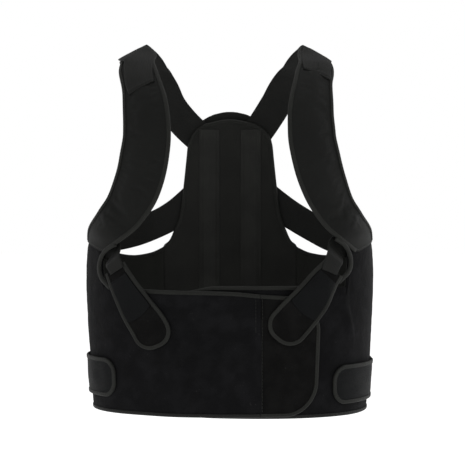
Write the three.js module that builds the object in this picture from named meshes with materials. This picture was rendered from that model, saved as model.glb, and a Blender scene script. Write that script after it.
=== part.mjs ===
// A posture corrector: a vest-like back brace that is worn over both shoulders and closes in front.
// Millimetres, +Z up. The wearer faces -Y, and -X is the viewer's left in front. The origin is level
// with the top of the shoulders, in the middle of the body, where the brace hangs on its wearer.
//
// Every piece lies on one body surface. A point of it is given by the side of the body it is measured
// from (+1 or -1), the turn in degrees round the body from that side (0 straight out, 90 the middle of
// the chest, -90 the middle of the back, and on to the other side past that), and the level (0 the hem,
// 1 the underarm, 2 the top of the shoulders). A lift is a distance outwards from that surface.
import * as THREE from 'three';

// Body and overall sizes
const underarmHeight = 205;
const shoulderRise = 216;
const chestHalfWidth = 169;
const bellyDepth = 108;
const spineDepth = 109;
const sectionSquareness = 2.3;

// Thickness of the layers, and how they lie on each other
const wingThickness = 3.5;
const padThickness = 4;
const panelThickness = 4;
const coverThickness = 2.5;
const channelThickness = 2.5;
const strapThickness = 2;
const tongueThickness = 2.2;
const hookThickness = 0.8;
const closureThickness = 2.6;
const bandThickness = 2.2;
const loopThickness = 2.4;
const bindingWidth = 4.5;
const bindingProud = 0.4;
const layerGap = 0.6;

// Widths and lengths of the pieces
const panelHalfWidth = 84;
const channelWidth = 26;
const channelSpacing = 53;
const strapWidth = 38;
const padWidth = 62;
const tongueWidth = 46;
const tongueLength = 104;
const loopWidth = 6;
const pullBandWidth = 45;
const pullTabLength = 96;
const closureSeam = 33.5;
const closureReach = 101;
const closureCorner = 38;
const underlapReach = 45;

// Fineness of the facets
const facetLength = 16.5;
const facetBend = 14;
const arcSteps = 6;
const walkStep = 6;

// Lifts of the layers, from the body outwards
const wingOuter = wingThickness + bindingProud + layerGap;
const insideWing = -bindingProud - 2 * layerGap - strapThickness;
const behindPanel = panelThickness + bindingProud + layerGap;
const behindStrap = behindPanel + strapThickness + layerGap;
const behindStraps = behindStrap + strapThickness + layerGap;
const overPad = padThickness + 2 * bindingProud + 2 * layerGap;
const tongueDepth = tongueThickness + 2 * bindingProud + layerGap;
const closureDepth = closureThickness + 2 * bindingProud + layerGap;
const wrapDepth = wingThickness + 2 * bindingProud + layerGap;
const bandSeat = Math.max(panelThickness + layerGap, wingOuter);

// Half widths are shares of chestHalfWidth, front and back depths of bellyDepth and spineDepth
const bodyRows = [
  { level: 0, left: 0.944, right: 0.944, front: 0.963, back: 0.899 },
  { level: 0.293, left: 0.967, right: 0.967, front: 0.981, back: 0.881 },
  { level: 0.537, left: 0.985, right: 0.985, front: 0.991, back: 0.872 },
  { level: 0.78, left: 0.994, right: 0.994, front: 1, back: 0.899 },
  { level: 0.9, left: 0.985, right: 0.985, front: 1, back: 0.92 },
  { level: 0.976, left: 0.975, right: 0.975, front: 1, back: 0.936 },
  { level: 1.162, left: 0.966, right: 0.966, front: 1, back: 0.972 },
  { level: 1.394, left: 0.955, right: 0.955, front: 0.991, back: 1 },
  { level: 1.532, left: 0.935, right: 0.935, front: 0.963, back: 1 },
  { level: 1.671, left: 0.9, right: 0.888, front: 0.87, back: 0.963 },
  { level: 1.81, left: 0.864, right: 0.817, front: 0.685, back: 0.862 },
  { level: 1.912, left: 0.805, right: 0.734, front: 0.463, back: 0.697 },
  { level: 1.981, left: 0.672, right: 0.6, front: 0.222, back: 0.422 },
  { level: 2.028, left: 0.548, right: 0.476, front: 0.093, back: 0.229 },
  { level: 2.069, left: 0.405, right: 0.335, front: 0.037, back: 0.11 },
];

// Half width of the back panel and its cover, as shares of panelHalfWidth, up to their round tops
const panelRows = [
  { level: 0, half: 1 },
  { level: 0.927, half: 1 },
  { level: 0.961, half: 0.917 },
  { level: 1.019, half: 0.851 },
  { level: 1.09, half: 0.78 },
  { level: 1.157, half: 0.744 },
  { level: 1.278, half: 0.708 },
  { level: 1.454, half: 0.661 },
  { level: 1.523, half: 0.643 },
  { level: 1.569, half: 0.607 },
  { level: 1.606, half: 0.548 },
  { level: 1.634, half: 0.464 },
  { level: 1.653, half: 0.369 },
  { level: 1.66, half: 0.286 },
];
const coverRows = [
  { level: 0.951, half: 0.88 },
  { level: 1.019, half: 0.833 },
  { level: 1.09, half: 0.762 },
  { level: 1.157, half: 0.726 },
  { level: 1.278, half: 0.69 },
  { level: 1.335, half: 0.675 },
  { level: 1.412, half: 0.655 },
  { level: 1.454, half: 0.643 },
  { level: 1.523, half: 0.625 },
  { level: 1.569, half: 0.6 },
  { level: 1.606, half: 0.55 },
  { level: 1.639, half: 0.49 },
  { level: 1.666, half: 0.41 },
  { level: 1.684, half: 0.33 },
  { level: 1.698, half: 0.24 },
];
const panelFreeLevel = 0.927;
const channelLevels = { bottom: 0.1, top: 1.62 };

// Top and hem of each wing, from the back seam to the front. The top drops steeply at the notch
const wingRows = {
  left: [
    { turn: -48, top: 0.927, hem: 0 },
    { turn: -44.8, top: 0.9, hem: 0 },
    { turn: -38, top: 0.878, hem: 0 },
    { turn: -31, top: 0.871, hem: 0 },
    { turn: -22, top: 0.888, hem: 0 },
    { turn: -11.5, top: 0.937, hem: 0 },
    { turn: 0, top: 0.985, hem: 0 },
    { turn: 9, top: 0.985, hem: 0 },
    { turn: 19.6, top: 0.961, hem: 0 },
    { turn: 21.4, top: 0.722, hem: 0 },
    { turn: 30, top: 0.717, hem: 0 },
    { turn: 46, top: 0.698, hem: 0 },
    { turn: 90, top: 0.688, hem: 0 },
    { turn: 108, top: 0.673, hem: 0 },
  ],
  right: [
    { turn: -48, top: 0.927, hem: 0 },
    { turn: -44.8, top: 0.9, hem: 0 },
    { turn: -38, top: 0.878, hem: 0 },
    { turn: -31, top: 0.871, hem: 0 },
    { turn: -22, top: 0.888, hem: 0 },
    { turn: -11.5, top: 0.937, hem: -0.003 },
    { turn: 0, top: 0.985, hem: -0.007 },
    { turn: 9, top: 0.985, hem: -0.01 },
    { turn: 23.8, top: 0.95, hem: -0.014 },
    { turn: 25.6, top: 0.722, hem: -0.014 },
    { turn: 34, top: 0.717, hem: -0.014 },
    { turn: 98, top: 0.717, hem: -0.007 },
    { turn: 114, top: 0.69, hem: 0 },
  ],
};
const notchTurns = { left: [19.6, 21.4], right: [23.8, 25.6] };
const wrapTurns = { start: 38, end: 62 };
const closureEdge = { top: 0.65, seamTop: 0.673, sweep: 5, level: 0.45 };
const closureRise = { turnAway: 9, turnClear: 1, levelAway: 0.79, levelClear: 0.69 };
const crossingLevel = 1.412;
const coverHem = 20;
const coverTuck = { edge: 0.8, strapAway: 0.4, strapNear: 0.15, hemWide: 0.57, hemNarrow: 0.4 };
const creaseRows = { turnBottom: 28, turnTop: 22.5, bottom: 0.42, top: 0.73, height: 1.6, width: 3 };

// Routes: each row is a turn and a level, the lift of the piece's under side, and its share of the width
const strapRows = {
  right: [
    { turn: 26.3, level: 1.847, lift: overPad, width: 1 },
    { turn: 18, level: 1.912, lift: overPad, width: 1 },
    { turn: 0, level: 1.981, lift: overPad, width: 1 },
    { turn: -15, level: 1.97, lift: overPad, width: 1 },
    { turn: -31, level: 1.937, lift: 0, width: 1 },
    { turn: -49, level: 1.854, lift: 0, width: 1 },
    { turn: -60, level: 1.743, lift: behindPanel, width: 1 },
    { turn: -71.9, level: 1.604, lift: behindPanel, width: 1 },
    { turn: -81, level: 1.515, lift: behindStrap, width: 1 },
    { turn: -92.7, level: 1.412, lift: behindStrap, width: 1 },
    { turn: -104, level: 1.305, lift: behindStrap, width: 1 },
    { turn: -114.9, level: 1.2, lift: behindPanel, width: 1 },
    { turn: -124.6, level: 1.124, lift: behindPanel, width: 0.95 },
    { turn: -134.2, level: 1.066, lift: behindPanel, width: 0.92 },
    { turn: -145.7, level: 1.014, lift: 0, width: 0.92 },
    { turn: -156, level: 0.988, lift: insideWing, width: 0.92 },
    { turn: -180, level: 0.955, lift: insideWing, width: 0.92 },
    { turn: -194.7, level: 0.956, lift: insideWing, width: 0.88 },
    { turn: -202, level: 0.937, lift: insideWing, width: 0.78 },
    { turn: -207, level: 0.893, lift: insideWing, width: 0.7 },
    { turn: -210.4, level: 0.829, lift: wingOuter + tongueDepth, width: 0.7 },
    { turn: -213, level: 0.78, lift: wingOuter + tongueDepth, width: 0.7 },
  ],
  left: [
    { turn: 33, level: 1.768, lift: overPad, width: 1 },
    { turn: 17, level: 1.921, lift: overPad, width: 1 },
    { turn: 0, level: 1.981, lift: overPad, width: 1 },
    { turn: -15, level: 1.966, lift: overPad, width: 1 },
    { turn: -30.5, level: 1.921, lift: 0, width: 1 },
    { turn: -43.2, level: 1.838, lift: 0, width: 1 },
    { turn: -51.1, level: 1.745, lift: 0, width: 1 },
    { turn: -59.7, level: 1.657, lift: behindPanel, width: 1 },
    { turn: -66.2, level: 1.602, lift: behindPanel, width: 1 },
    { turn: -90, level: 1.417, lift: behindPanel, width: 1 },
    { turn: -114.6, level: 1.212, lift: behindPanel, width: 1 },
    { turn: -131, level: 1.098, lift: behindPanel, width: 0.92 },
    { turn: -141, level: 1.034, lift: 0, width: 0.92 },
    { turn: -150.5, level: 0.98, lift: insideWing, width: 0.92 },
    { turn: -158.2, level: 0.95, lift: insideWing, width: 0.92 },
    { turn: -180, level: 0.935, lift: insideWing, width: 0.92 },
    { turn: -196, level: 0.945, lift: insideWing, width: 0.88 },
    { turn: -205.5, level: 0.94, lift: insideWing, width: 0.78 },
    { turn: -211.2, level: 0.9, lift: insideWing, width: 0.72 },
    { turn: -214.6, level: 0.835, lift: wingOuter + tongueDepth, width: 0.72 },
    { turn: -217.4, level: 0.785, lift: wingOuter + tongueDepth, width: 0.72 },
  ],
};
const padRows = {
  right: [
    { turn: -11, level: 1.966, lift: 0, width: 0.7 },
    { turn: 0, level: 1.981, lift: 0, width: 0.7 },
    { turn: 11, level: 1.948, lift: 0, width: 0.7 },
    { turn: 20.3, level: 1.894, lift: 0, width: 0.71 },
    { turn: 30.4, level: 1.815, lift: 0, width: 0.76 },
    { turn: 40.8, level: 1.662, lift: 0, width: 0.9 },
    { turn: 44, level: 1.523, lift: 0, width: 0.96 },
    { turn: 42.5, level: 1.384, lift: 0, width: 0.98 },
    { turn: 39, level: 1.255, lift: 0, width: 0.96 },
    { turn: 33.4, level: 1.125, lift: 1.2, width: 0.86 },
    { turn: 27, level: 1.037, lift: wingOuter, width: 0.75 },
    { turn: 19.2, level: 0.961, lift: wingOuter, width: 0.69 },
    { turn: 9.8, level: 0.86, lift: wingOuter, width: 0.74 },
  ],
  left: [
    { turn: -11, level: 1.966, lift: 0, width: 0.7 },
    { turn: 0, level: 1.981, lift: 0, width: 0.7 },
    { turn: 10, level: 1.955, lift: 0, width: 0.7 },
    { turn: 17.9, level: 1.903, lift: 0, width: 0.71 },
    { turn: 29.3, level: 1.806, lift: 0, width: 0.76 },
    { turn: 38.8, level: 1.671, lift: 0, width: 0.9 },
    { turn: 43.4, level: 1.532, lift: 0, width: 0.96 },
    { turn: 42.9, level: 1.384, lift: 0, width: 1 },
    { turn: 40, level: 1.255, lift: 0, width: 1 },
    { turn: 34, level: 1.125, lift: 1.2, width: 0.91 },
    { turn: 27, level: 1.037, lift: wingOuter, width: 0.79 },
    { turn: 19, level: 0.961, lift: wingOuter, width: 0.72 },
    { turn: 9.8, level: 0.86, lift: wingOuter, width: 0.74 },
  ],
};
const padEnd = { short: 24, slant: 0.84, slantLength: 45, corner: 8 };
const tongueRows = {
  left: [
    { turn: 31.2, level: 0.812, lift: 0, width: 0.6 },
    { turn: 35, level: 0.72, lift: 0, width: 0.74 },
    { turn: 41.6, level: 0.585, lift: 0, width: 0.93 },
    { turn: 47.6, level: 0.478, lift: 0, width: 1 },
    { turn: 52.8, level: 0.34, lift: 0, width: 1 },
  ],
  right: [
    { turn: 36.6, level: 0.812, lift: 0, width: 0.6 },
    { turn: 41, level: 0.748, lift: 0, width: 0.74 },
    { turn: 47.6, level: 0.639, lift: 0, width: 0.93 },
    { turn: 56.4, level: 0.522, lift: 0, width: 1 },
    { turn: 66.5, level: 0.4, lift: 0, width: 1 },
  ],
};
const hookShare = { start: 0.12, end: 0.58 };
const loopRows = {
  left: [
    { turn: 23.4, level: 0.893, lift: wingOuter, width: 1 },
    { turn: 21.9, level: 0.85, lift: wingOuter, width: 1 },
    { turn: 22.2, level: 0.79, lift: wingOuter, width: 1 },
    { turn: 26, level: 0.715, lift: wingOuter, width: 1 },
  ],
  right: [
    { turn: 26.2, level: 0.89, lift: wingOuter, width: 1 },
    { turn: 25.4, level: 0.85, lift: wingOuter, width: 1 },
    { turn: 26.6, level: 0.79, lift: wingOuter, width: 1 },
    { turn: 30.6, level: 0.705, lift: wingOuter, width: 1 },
  ],
};
const pullRows = {
  left: [
    { turn: -76, level: 0.22, lift: bandSeat, width: 1 },
    { turn: -50, level: 0.22, lift: bandSeat, width: 1 },
    { turn: -25, level: 0.21, lift: bandSeat, width: 1 },
    { turn: 0, level: 0.203, lift: bandSeat, width: 1 },
    { turn: 30, level: 0.2, lift: bandSeat, width: 1 },
  ],
  right: [
    { turn: -76, level: 0.22, lift: bandSeat, width: 1 },
    { turn: -50, level: 0.215, lift: bandSeat, width: 1 },
    { turn: -25, level: 0.195, lift: bandSeat, width: 1 },
    { turn: 0, level: 0.175, lift: bandSeat, width: 1 },
    { turn: 35.5, level: 0.163, lift: bandSeat, width: 1 },
  ],
};
const pullTabCorner = 18;

const sides = { left: -1, right: 1 };

const finishes = {
  knit: { color: 0x1b1c19, roughness: 0.85, metalness: 0 },
  webbing: { color: 0x20211d, roughness: 0.7, metalness: 0 },
  plush: { color: 0x16171a, roughness: 0.95, metalness: 0 },
  binding: { color: 0x2a2c27, roughness: 0.8, metalness: 0 },
  hook: { color: 0x131414, roughness: 0.6, metalness: 0 },
};

/** How far x has gone from start to end, from 0 to 1, eased at both. */
function ease(x, start, end) {
  const share = THREE.MathUtils.clamp((x - start) / (end - start), 0, 1);
  return share * share * (3 - 2 * share);
}

/** A smooth curve through one column of a table, which doesn't overshoot between the rows. */
class Column {
  constructor(rows, at, value) {
    this.x = rows.map((row) => row[at]);
    this.y = rows.map((row) => row[value]);
    const rise = this.x.slice(1).map((x, i) => (this.y[i + 1] - this.y[i]) / (x - this.x[i]));
    this.slope = this.x.map((x, i) => {
      const before = rise[i - 1] ?? rise[i];
      const after = rise[i] ?? rise[i - 1];
      return before * after <= 0 ? 0 : (2 * before * after) / (before + after);
    });
  }

  read(x) {
    const last = this.x.length - 1;
    if (x <= this.x[0]) return this.y[0];
    if (x >= this.x[last]) return this.y[last];
    let i = 0;
    while (x > this.x[i + 1]) i += 1;
    const span = this.x[i + 1] - this.x[i];
    const t = (x - this.x[i]) / span;
    const bend = t * t * (3 - 2 * t);
    const lean = t * (1 - t) * span * ((1 - t) * this.slope[i] - t * this.slope[i + 1]);
    return this.y[i] * (1 - bend) + this.y[i + 1] * bend + lean;
  }
}

const body = Object.fromEntries(
  ['left', 'right', 'front', 'back'].map((name) => [name, new Column(bodyRows, 'level', name)]),
);

const heightOf = (level) =>
  level <= 1 ? level * underarmHeight : underarmHeight + (level - 1) * shoulderRise;
const levelOf = (height) =>
  height <= underarmHeight ? height / underarmHeight : 1 + (height - underarmHeight) / shoulderRise;

/** Half width and depth of the quarter of the body's section that a direction points into. */
function sectionSize(side, x, facing, level) {
  const half = chestHalfWidth * (side * x < 0 ? body.left : body.right).read(level);
  const depth = facing > 0 ? bellyDepth * body.front.read(level) : spineDepth * body.back.read(level);
  return { half, depth };
}

/** A point of the body surface. */
function skinPoint(side, turn, level) {
  const angle = THREE.MathUtils.degToRad(turn);
  const x = Math.cos(angle);
  const y = Math.sin(angle);
  const { half, depth } = sectionSize(side, x, y, level);
  const bulk = Math.abs(x / half) ** sectionSquareness + Math.abs(y / depth) ** sectionSquareness;
  const reach = bulk ** (-1 / sectionSquareness);
  return new THREE.Vector3(side * reach * x, -reach * y, heightOf(level));
}

/** How far the body surface moves for each degree of turn and for each level. */
function skinSlopes(side, turn, level) {
  const small = 0.01;
  const slope = (a, b) => skinPoint(side, ...b).sub(skinPoint(side, ...a)).divideScalar(2 * small);
  return {
    round: slope([turn - small, level], [turn + small, level]),
    up: slope([turn, level - small], [turn, level + small]),
  };
}

/** The direction straight out of the body surface. */
function outward(side, turn, level) {
  const { round, up } = skinSlopes(side, turn, level);
  return up.cross(round).multiplyScalar(side).normalize();
}

/** A point that is lifted off the body surface. */
function liftedPoint(side, turn, level, lift) {
  return skinPoint(side, turn, level).addScaledVector(outward(side, turn, level), lift);
}

/** The turn at a distance x to the side, in front (facing 1) or behind (facing -1). */
function turnAt(side, x, facing, level) {
  const { half, depth } = sectionSize(side, x, facing, level);
  const y = depth * (1 - Math.min(1, Math.abs(x / half)) ** sectionSquareness) ** (1 / sectionSquareness);
  return THREE.MathUtils.radToDeg(Math.atan2(facing * y, x));
}

/** Where a walk over the body surface ends that starts in a direction and goes straight on. */
function walk(side, start, direction, distance) {
  const steps = Math.max(1, Math.ceil(distance / walkStep));
  const heading = direction.clone();
  let { turn, level } = start;
  for (let step = 0; step < steps; step += 1) {
    const { round, up } = skinSlopes(side, turn, level);
    const [a, b, c] = [round.lengthSq(), round.dot(up), up.lengthSq()];
    const [p, q] = [heading.dot(round), heading.dot(up)];
    const turning = (c * p - b * q) / (a * c - b * b);
    const rising = (a * q - b * p) / (a * c - b * b);
    heading.copy(round).multiplyScalar(turning).addScaledVector(up, rising);
    const share = distance / steps / heading.length();
    turn += turning * share;
    level += rising * share;
    heading.normalize();
  }
  return { turn, level };
}

/** A smooth route over the body surface through the rows of a table. */
class Route {
  constructor(side, rows) {
    this.side = side;
    const degreesPerLevel = 80;
    const samplesPerRow = 12;
    const guide = new THREE.CatmullRomCurve3(
      rows.map((row) => new THREE.Vector3(row.turn, row.level * degreesPerLevel, 0)),
      false,
      'centripetal',
    );
    const numbered = rows.map((row, number) => ({ ...row, number }));
    const lift = new Column(numbered, 'number', 'lift');
    const width = new Column(numbered, 'number', 'width');
    const steps = (rows.length - 1) * samplesPerRow;
    this.samples = Array.from({ length: steps + 1 }, (_, step) => {
      const point = guide.getPoint(step / steps);
      const number = step / samplesPerRow;
      const sample = { turn: point.x, level: point.y / degreesPerLevel };
      return { ...sample, lift: lift.read(number), width: width.read(number), along: 0, cost: 0 };
    });
    const points = this.samples.map((sample) => liftedPoint(side, sample.turn, sample.level, sample.lift));
    for (let i = 1; i <= steps; i += 1) {
      const step = points[i].clone().sub(points[i - 1]);
      const next = points[Math.min(i + 1, steps)].clone().sub(points[i]);
      const bend = i < steps ? THREE.MathUtils.radToDeg(step.angleTo(next)) : 0;
      this.samples[i].along = this.samples[i - 1].along + step.length();
      const cost = Math.hypot(step.length() / facetLength, bend / facetBend);
      this.samples[i].cost = this.samples[i - 1].cost + cost;
    }
    this.length = this.samples[steps].along;
  }

  /** What the samples say where one of their values reaches an amount. */
  sampleAt(key, amount) {
    const last = this.samples.length - 1;
    let i = 0;
    while (i < last - 1 && this.samples[i + 1][key] < amount) i += 1;
    const [a, b] = [this.samples[i], this.samples[i + 1]];
    const share = THREE.MathUtils.clamp((amount - a[key]) / (b[key] - a[key]), 0, 1);
    return Object.fromEntries(
      Object.keys(a).map((name) => [name, THREE.MathUtils.lerp(a[name], b[name], share)]),
    );
  }

  at(along) {
    return this.sampleAt('along', along);
  }

  /** Lengths along the route, closer together where it bends. */
  stations(from, to) {
    const [first, last] = [this.at(from).cost, this.at(to).cost];
    const count = Math.max(1, Math.ceil(last - first));
    return Array.from({ length: count + 1 }, (_, i) => {
      return this.sampleAt('cost', first + ((last - first) * i) / count).along;
    });
  }

  /** The place on the body that lies across to the right of the route, seen from outside. */
  place(across, along) {
    const here = this.at(along);
    if (across === 0) return here;
    const ahead = this.at(Math.min(along + 1, this.length));
    const behind = this.at(Math.max(along - 1, 0));
    const heading = liftedPoint(this.side, ahead.turn, ahead.level, ahead.lift);
    heading.sub(liftedPoint(this.side, behind.turn, behind.level, behind.lift));
    const sideways = heading.cross(outward(this.side, here.turn, here.level));
    sideways.multiplyScalar(Math.sign(across) * this.side).normalize();
    return walk(this.side, here, sideways, Math.abs(across));
  }
}

/** A closed body between an under face (0) and an over face (1), both gridded in rows and columns. */
function wall(rows, columns, place) {
  const positions = [];
  const index = [];
  const vertex = (row, column, face) => (face * (rows + 1) + row) * (columns + 1) + column;
  const quad = (a, b, c, d) => index.push(a, b, c, a, c, d);
  for (const face of [0, 1]) {
    for (let row = 0; row <= rows; row += 1) {
      for (let column = 0; column <= columns; column += 1) {
        positions.push(...place(row, column, face).toArray());
      }
    }
  }
  for (let r = 0; r < rows; r += 1) {
    for (let c = 0; c < columns; c += 1) {
      quad(vertex(r, c, 1), vertex(r, c + 1, 1), vertex(r + 1, c + 1, 1), vertex(r + 1, c, 1));
      quad(vertex(r + 1, c, 0), vertex(r + 1, c + 1, 0), vertex(r, c + 1, 0), vertex(r, c, 0));
    }
    quad(vertex(r, 0, 1), vertex(r + 1, 0, 1), vertex(r + 1, 0, 0), vertex(r, 0, 0));
    const c = columns;
    quad(vertex(r + 1, c, 1), vertex(r, c, 1), vertex(r, c, 0), vertex(r + 1, c, 0));
  }
  for (let c = 0; c < columns; c += 1) {
    quad(vertex(0, c + 1, 1), vertex(0, c, 1), vertex(0, c, 0), vertex(0, c + 1, 0));
    quad(vertex(rows, c, 1), vertex(rows, c + 1, 1), vertex(rows, c + 1, 0), vertex(rows, c, 0));
  }
  const corner = (i) => new THREE.Vector3().fromArray(positions, 3 * index[i]);
  let volume = 0;
  for (let i = 0; i < index.length; i += 3) volume += corner(i).dot(corner(i + 1).cross(corner(i + 2)));
  if (volume < 0) index.reverse();
  const geometry = new THREE.BufferGeometry();
  geometry.setAttribute('position', new THREE.Float32BufferAttribute(positions, 3));
  geometry.setIndex(index);
  geometry.computeVertexNormals();
  return geometry;
}

/** A strip of even thickness along a route. */
function strip(route, width, thickness, { from = 0, to = route.length, columns = 4 } = {}) {
  const stations = route.stations(from, to);
  return wall(stations.length - 1, columns, (row, column, face) => {
    const here = route.at(stations[row]);
    const { turn, level } = route.place((column / columns - 0.5) * width * here.width, stations[row]);
    return liftedPoint(route.side, turn, level, here.lift + face * thickness);
  });
}

/** An open outline moved towards its right-hand side. Its points are [across, along]. */
function insetPath(path, distance) {
  const normal = (from, to) => {
    const step = new THREE.Vector2(to[0] - from[0], to[1] - from[1]).normalize();
    return new THREE.Vector2(step.y, -step.x);
  };
  return path.map((point, i) => {
    const before = i > 0 ? normal(path[i - 1], point) : normal(point, path[i + 1]);
    const after = i < path.length - 1 ? normal(point, path[i + 1]) : before;
    const move = before.clone().add(after).multiplyScalar(distance / (1 + before.dot(after)));
    return [point[0] + move.x, point[1] + move.y];
  });
}

/** The cloth inside an outline whose second half runs back beside its first. */
function filling(path, columns, place) {
  return wall(path.length / 2 - 1, columns, (row, column, face) => {
    const [left, right] = [path[row], path[path.length - 1 - row]];
    const share = column / columns;
    const [across, along] = left.map((value, axis) => THREE.MathUtils.lerp(value, right[axis], share));
    return place(across, along, face);
  });
}

/** An outline whose long stretches are cut to the length of a facet. */
function refined(path) {
  return path.flatMap((point, i) => {
    const next = path[i + 1] ?? point;
    const stretch = Math.hypot(next[0] - point[0], next[1] - point[1]);
    const pieces = Math.max(1, Math.ceil(stretch / facetLength));
    return Array.from({ length: pieces }, (_, k) => {
      return point.map((value, axis) => THREE.MathUtils.lerp(value, next[axis], k / pieces));
    });
  });
}

/** The bound edge along an outline. */
function edging(path, place) {
  const outer = refined(path);
  const inner = insetPath(outer, bindingWidth);
  return wall(outer.length - 1, 1, (row, column, face) => place(...(column ? inner : outer)[row], face));
}

/** The outline of a piece along a route from its start to an end with two round corners. */
function roundEnded(route, width, from, to, corner) {
  const tipHalfWidth = 3;
  const half = (along) => (width * route.at(along).width) / 2;
  const radius = Math.min(corner, half(to) - tipHalfWidth);
  const left = route.stations(from, to - radius).map((along) => [-half(along), along]);
  for (let step = 1; step <= arcSteps; step += 1) {
    const angle = (Math.PI / 2) * (step / arcSteps);
    const across = half(to) - radius + radius * Math.cos(angle);
    left.push([-across, to - radius + radius * Math.sin(angle)]);
  }
  return mirrored(left);
}

/** An outline from its left half, with the right half run backwards. */
function mirrored(left) {
  return [...left, ...left.map(([across, along]) => [-across, along]).reverse()];
}

/** The two geometries of a bound piece: its cloth and its binding, which stands a little proud. */
function boundPiece(path, columns, thickness, place) {
  return {
    cloth: filling(insetPath(path, bindingWidth + layerGap), columns, (across, along, face) => {
      return place(across, along, bindingProud + face * thickness);
    }),
    binding: edging(path, (across, along, face) => {
      return place(across, along, face * (thickness + 2 * bindingProud));
    }),
  };
}

/** A named piece of the brace. */
function piece(name, geometry, finish) {
  const mesh = new THREE.Mesh(geometry, new THREE.MeshStandardMaterial(finishes[finish]));
  mesh.name = name;
  return mesh;
}

/** Levels of the rows of a table, with even steps below its first free row. */
function tableLevels(rows, from, freeFrom) {
  const steps = Math.ceil((heightOf(freeFrom) - heightOf(from)) / (1.5 * facetLength));
  const even = Array.from({ length: steps }, (_, i) => from + ((freeFrom - from) * i) / steps);
  return [...even, ...rows.map((row) => row.level).filter((level) => level >= freeFrom)];
}

/** A point over the back at a distance x to the right and a height. */
function backPoint(x, height, lift) {
  const level = levelOf(height);
  return liftedPoint(1, turnAt(1, x, -1, level), level, lift);
}

/** A point over the front at a distance x to the right and a height. */
function frontPoint(x, height, lift) {
  const level = levelOf(height);
  return liftedPoint(1, turnAt(1, x, 1, level), level, lift);
}

/** The padded back panel. Its edge is bound above the wings, and sewn to them below. */
function backPanel() {
  const half = new Column(panelRows, 'level', 'half');
  const hem = (bindingWidth + layerGap) / underarmHeight;
  const levels = tableLevels(panelRows, hem, panelFreeLevel);
  levels.splice(levels.indexOf(panelFreeLevel), 0, panelFreeLevel - hem);
  const left = levels.map((level) => [-panelHalfWidth * half.read(level), heightOf(level)]);
  const free = levels.filter((level) => level < panelFreeLevel).length;
  const outline = mirrored(left);
  const inner = insetPath(outline, bindingWidth + layerGap);
  const isFree = (i) => Math.min(i, outline.length - 1 - i) >= free;
  const clothOutline = outline.map((point, i) => (isFree(i) ? inner[i] : point));
  const boundEdge = outline.filter((_, i) => isFree(i));
  const cloth = filling(clothOutline, 6, (x, z, face) => backPoint(x, z, face * panelThickness));
  const binding = edging(boundEdge, (x, z, face) => {
    return backPoint(x, z, face * (panelThickness + 2 * bindingProud) - bindingProud);
  });
  return [piece('back_panel', cloth, 'knit'), piece('back_panel_binding', binding, 'binding')];
}

/** The channels on the inner face of the panel that hold the two stays. */
function stayChannels() {
  const [bottom, top] = [heightOf(channelLevels.bottom), heightOf(channelLevels.top)];
  const rows = Math.ceil((top - bottom) / (1.5 * facetLength));
  return Object.entries(sides).map(([name, side]) => {
    const middle = (side * channelSpacing) / 2;
    const geometry = wall(rows, 1, (row, column, face) => {
      const x = middle + (column - 0.5) * channelWidth;
      const lift = face * channelThickness - channelThickness - layerGap;
      return backPoint(x, bottom + ((top - bottom) * row) / rows, lift);
    });
    return piece(`stay_channel_${name}`, geometry, 'webbing');
  });
}

/** The outer cover, which bridges the crossing straps and is sewn down below and between them. */
function backCover() {
  const half = new Column(coverRows, 'level', 'half');
  const levels = coverRows.map((row) => row.level);
  const left = levels.map((level) => [-panelHalfWidth * half.read(level), heightOf(level)]);
  const crossing = heightOf(crossingLevel);
  const bottom = heightOf(levels[0]);
  const geometry = filling(mirrored(left), 8, (x, z, face) => {
    const out = Math.abs(x) / panelHalfWidth;
    const fromCrossing = Math.abs(z - crossing) / strapWidth;
    const edge = ease(out / half.read(levelOf(z)), coverTuck.edge, 1);
    const between = edge * ease(fromCrossing, coverTuck.strapAway, coverTuck.strapNear);
    const hem = ease(z, bottom + coverHem, bottom);
    const below = hem * ease(out, coverTuck.hemWide, coverTuck.hemNarrow);
    const lift = THREE.MathUtils.lerp(behindStraps, behindPanel, Math.max(between, below));
    return backPoint(x, z, lift + face * coverThickness);
  });
  return piece('back_cover', geometry, 'knit');
}

/** One padded front strap and its binding. Its lower end is cut at a slant. */
function shoulderPad(name) {
  const route = new Route(sides[name], padRows[name]);
  const length = route.length - padEnd.short;
  const path = roundEnded(route, padWidth, 0, length, padEnd.corner).map(([across, along]) => {
    return [across, along - padEnd.slant * across * ease(along, length - padEnd.slantLength, length)];
  });
  const { cloth, binding } = boundPiece(path, 4, padThickness, (across, along, lift) => {
    const { turn, level } = route.place(across, along);
    return liftedPoint(route.side, turn, level, route.at(along).lift + lift);
  });
  return [
    piece(`shoulder_pad_${name}`, cloth, 'knit'),
    piece(`shoulder_pad_binding_${name}`, binding, 'binding'),
  ];
}

/** The elastic strap that starts on one shoulder, crosses the back and ends under the other arm. */
function crossStrap(name) {
  const route = new Route(sides[name], strapRows[name]);
  return piece(`cross_strap_${name}`, strip(route, strapWidth, strapThickness), 'webbing');
}

/** The bound edge that guides the strap at the notch. */
function strapLoop(name) {
  const route = new Route(sides[name], loopRows[name]);
  return piece(`strap_loop_${name}`, strip(route, loopWidth, loopThickness, { columns: 1 }), 'binding');
}

/** How far the left wing stands off the body where it wraps over the right one. */
function wrapLift(name, turn) {
  return name === 'left' ? wrapDepth * ease(turn, wrapTurns.start, wrapTurns.end) : 0;
}

/** The lift of a tongue's under side, over its wing and, on the right, over the closure tab too. */
function tongueSeat(name, turn, level) {
  if (name === 'left') return wingOuter + wrapLift(name, turn);
  const edge = turnAt(1, closureReach, 1, closureEdge.level);
  const near = ease(turn, edge - closureRise.turnAway, edge - closureRise.turnClear);
  return wingOuter + closureDepth * near * ease(level, closureRise.levelAway, closureRise.levelClear);
}

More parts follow.
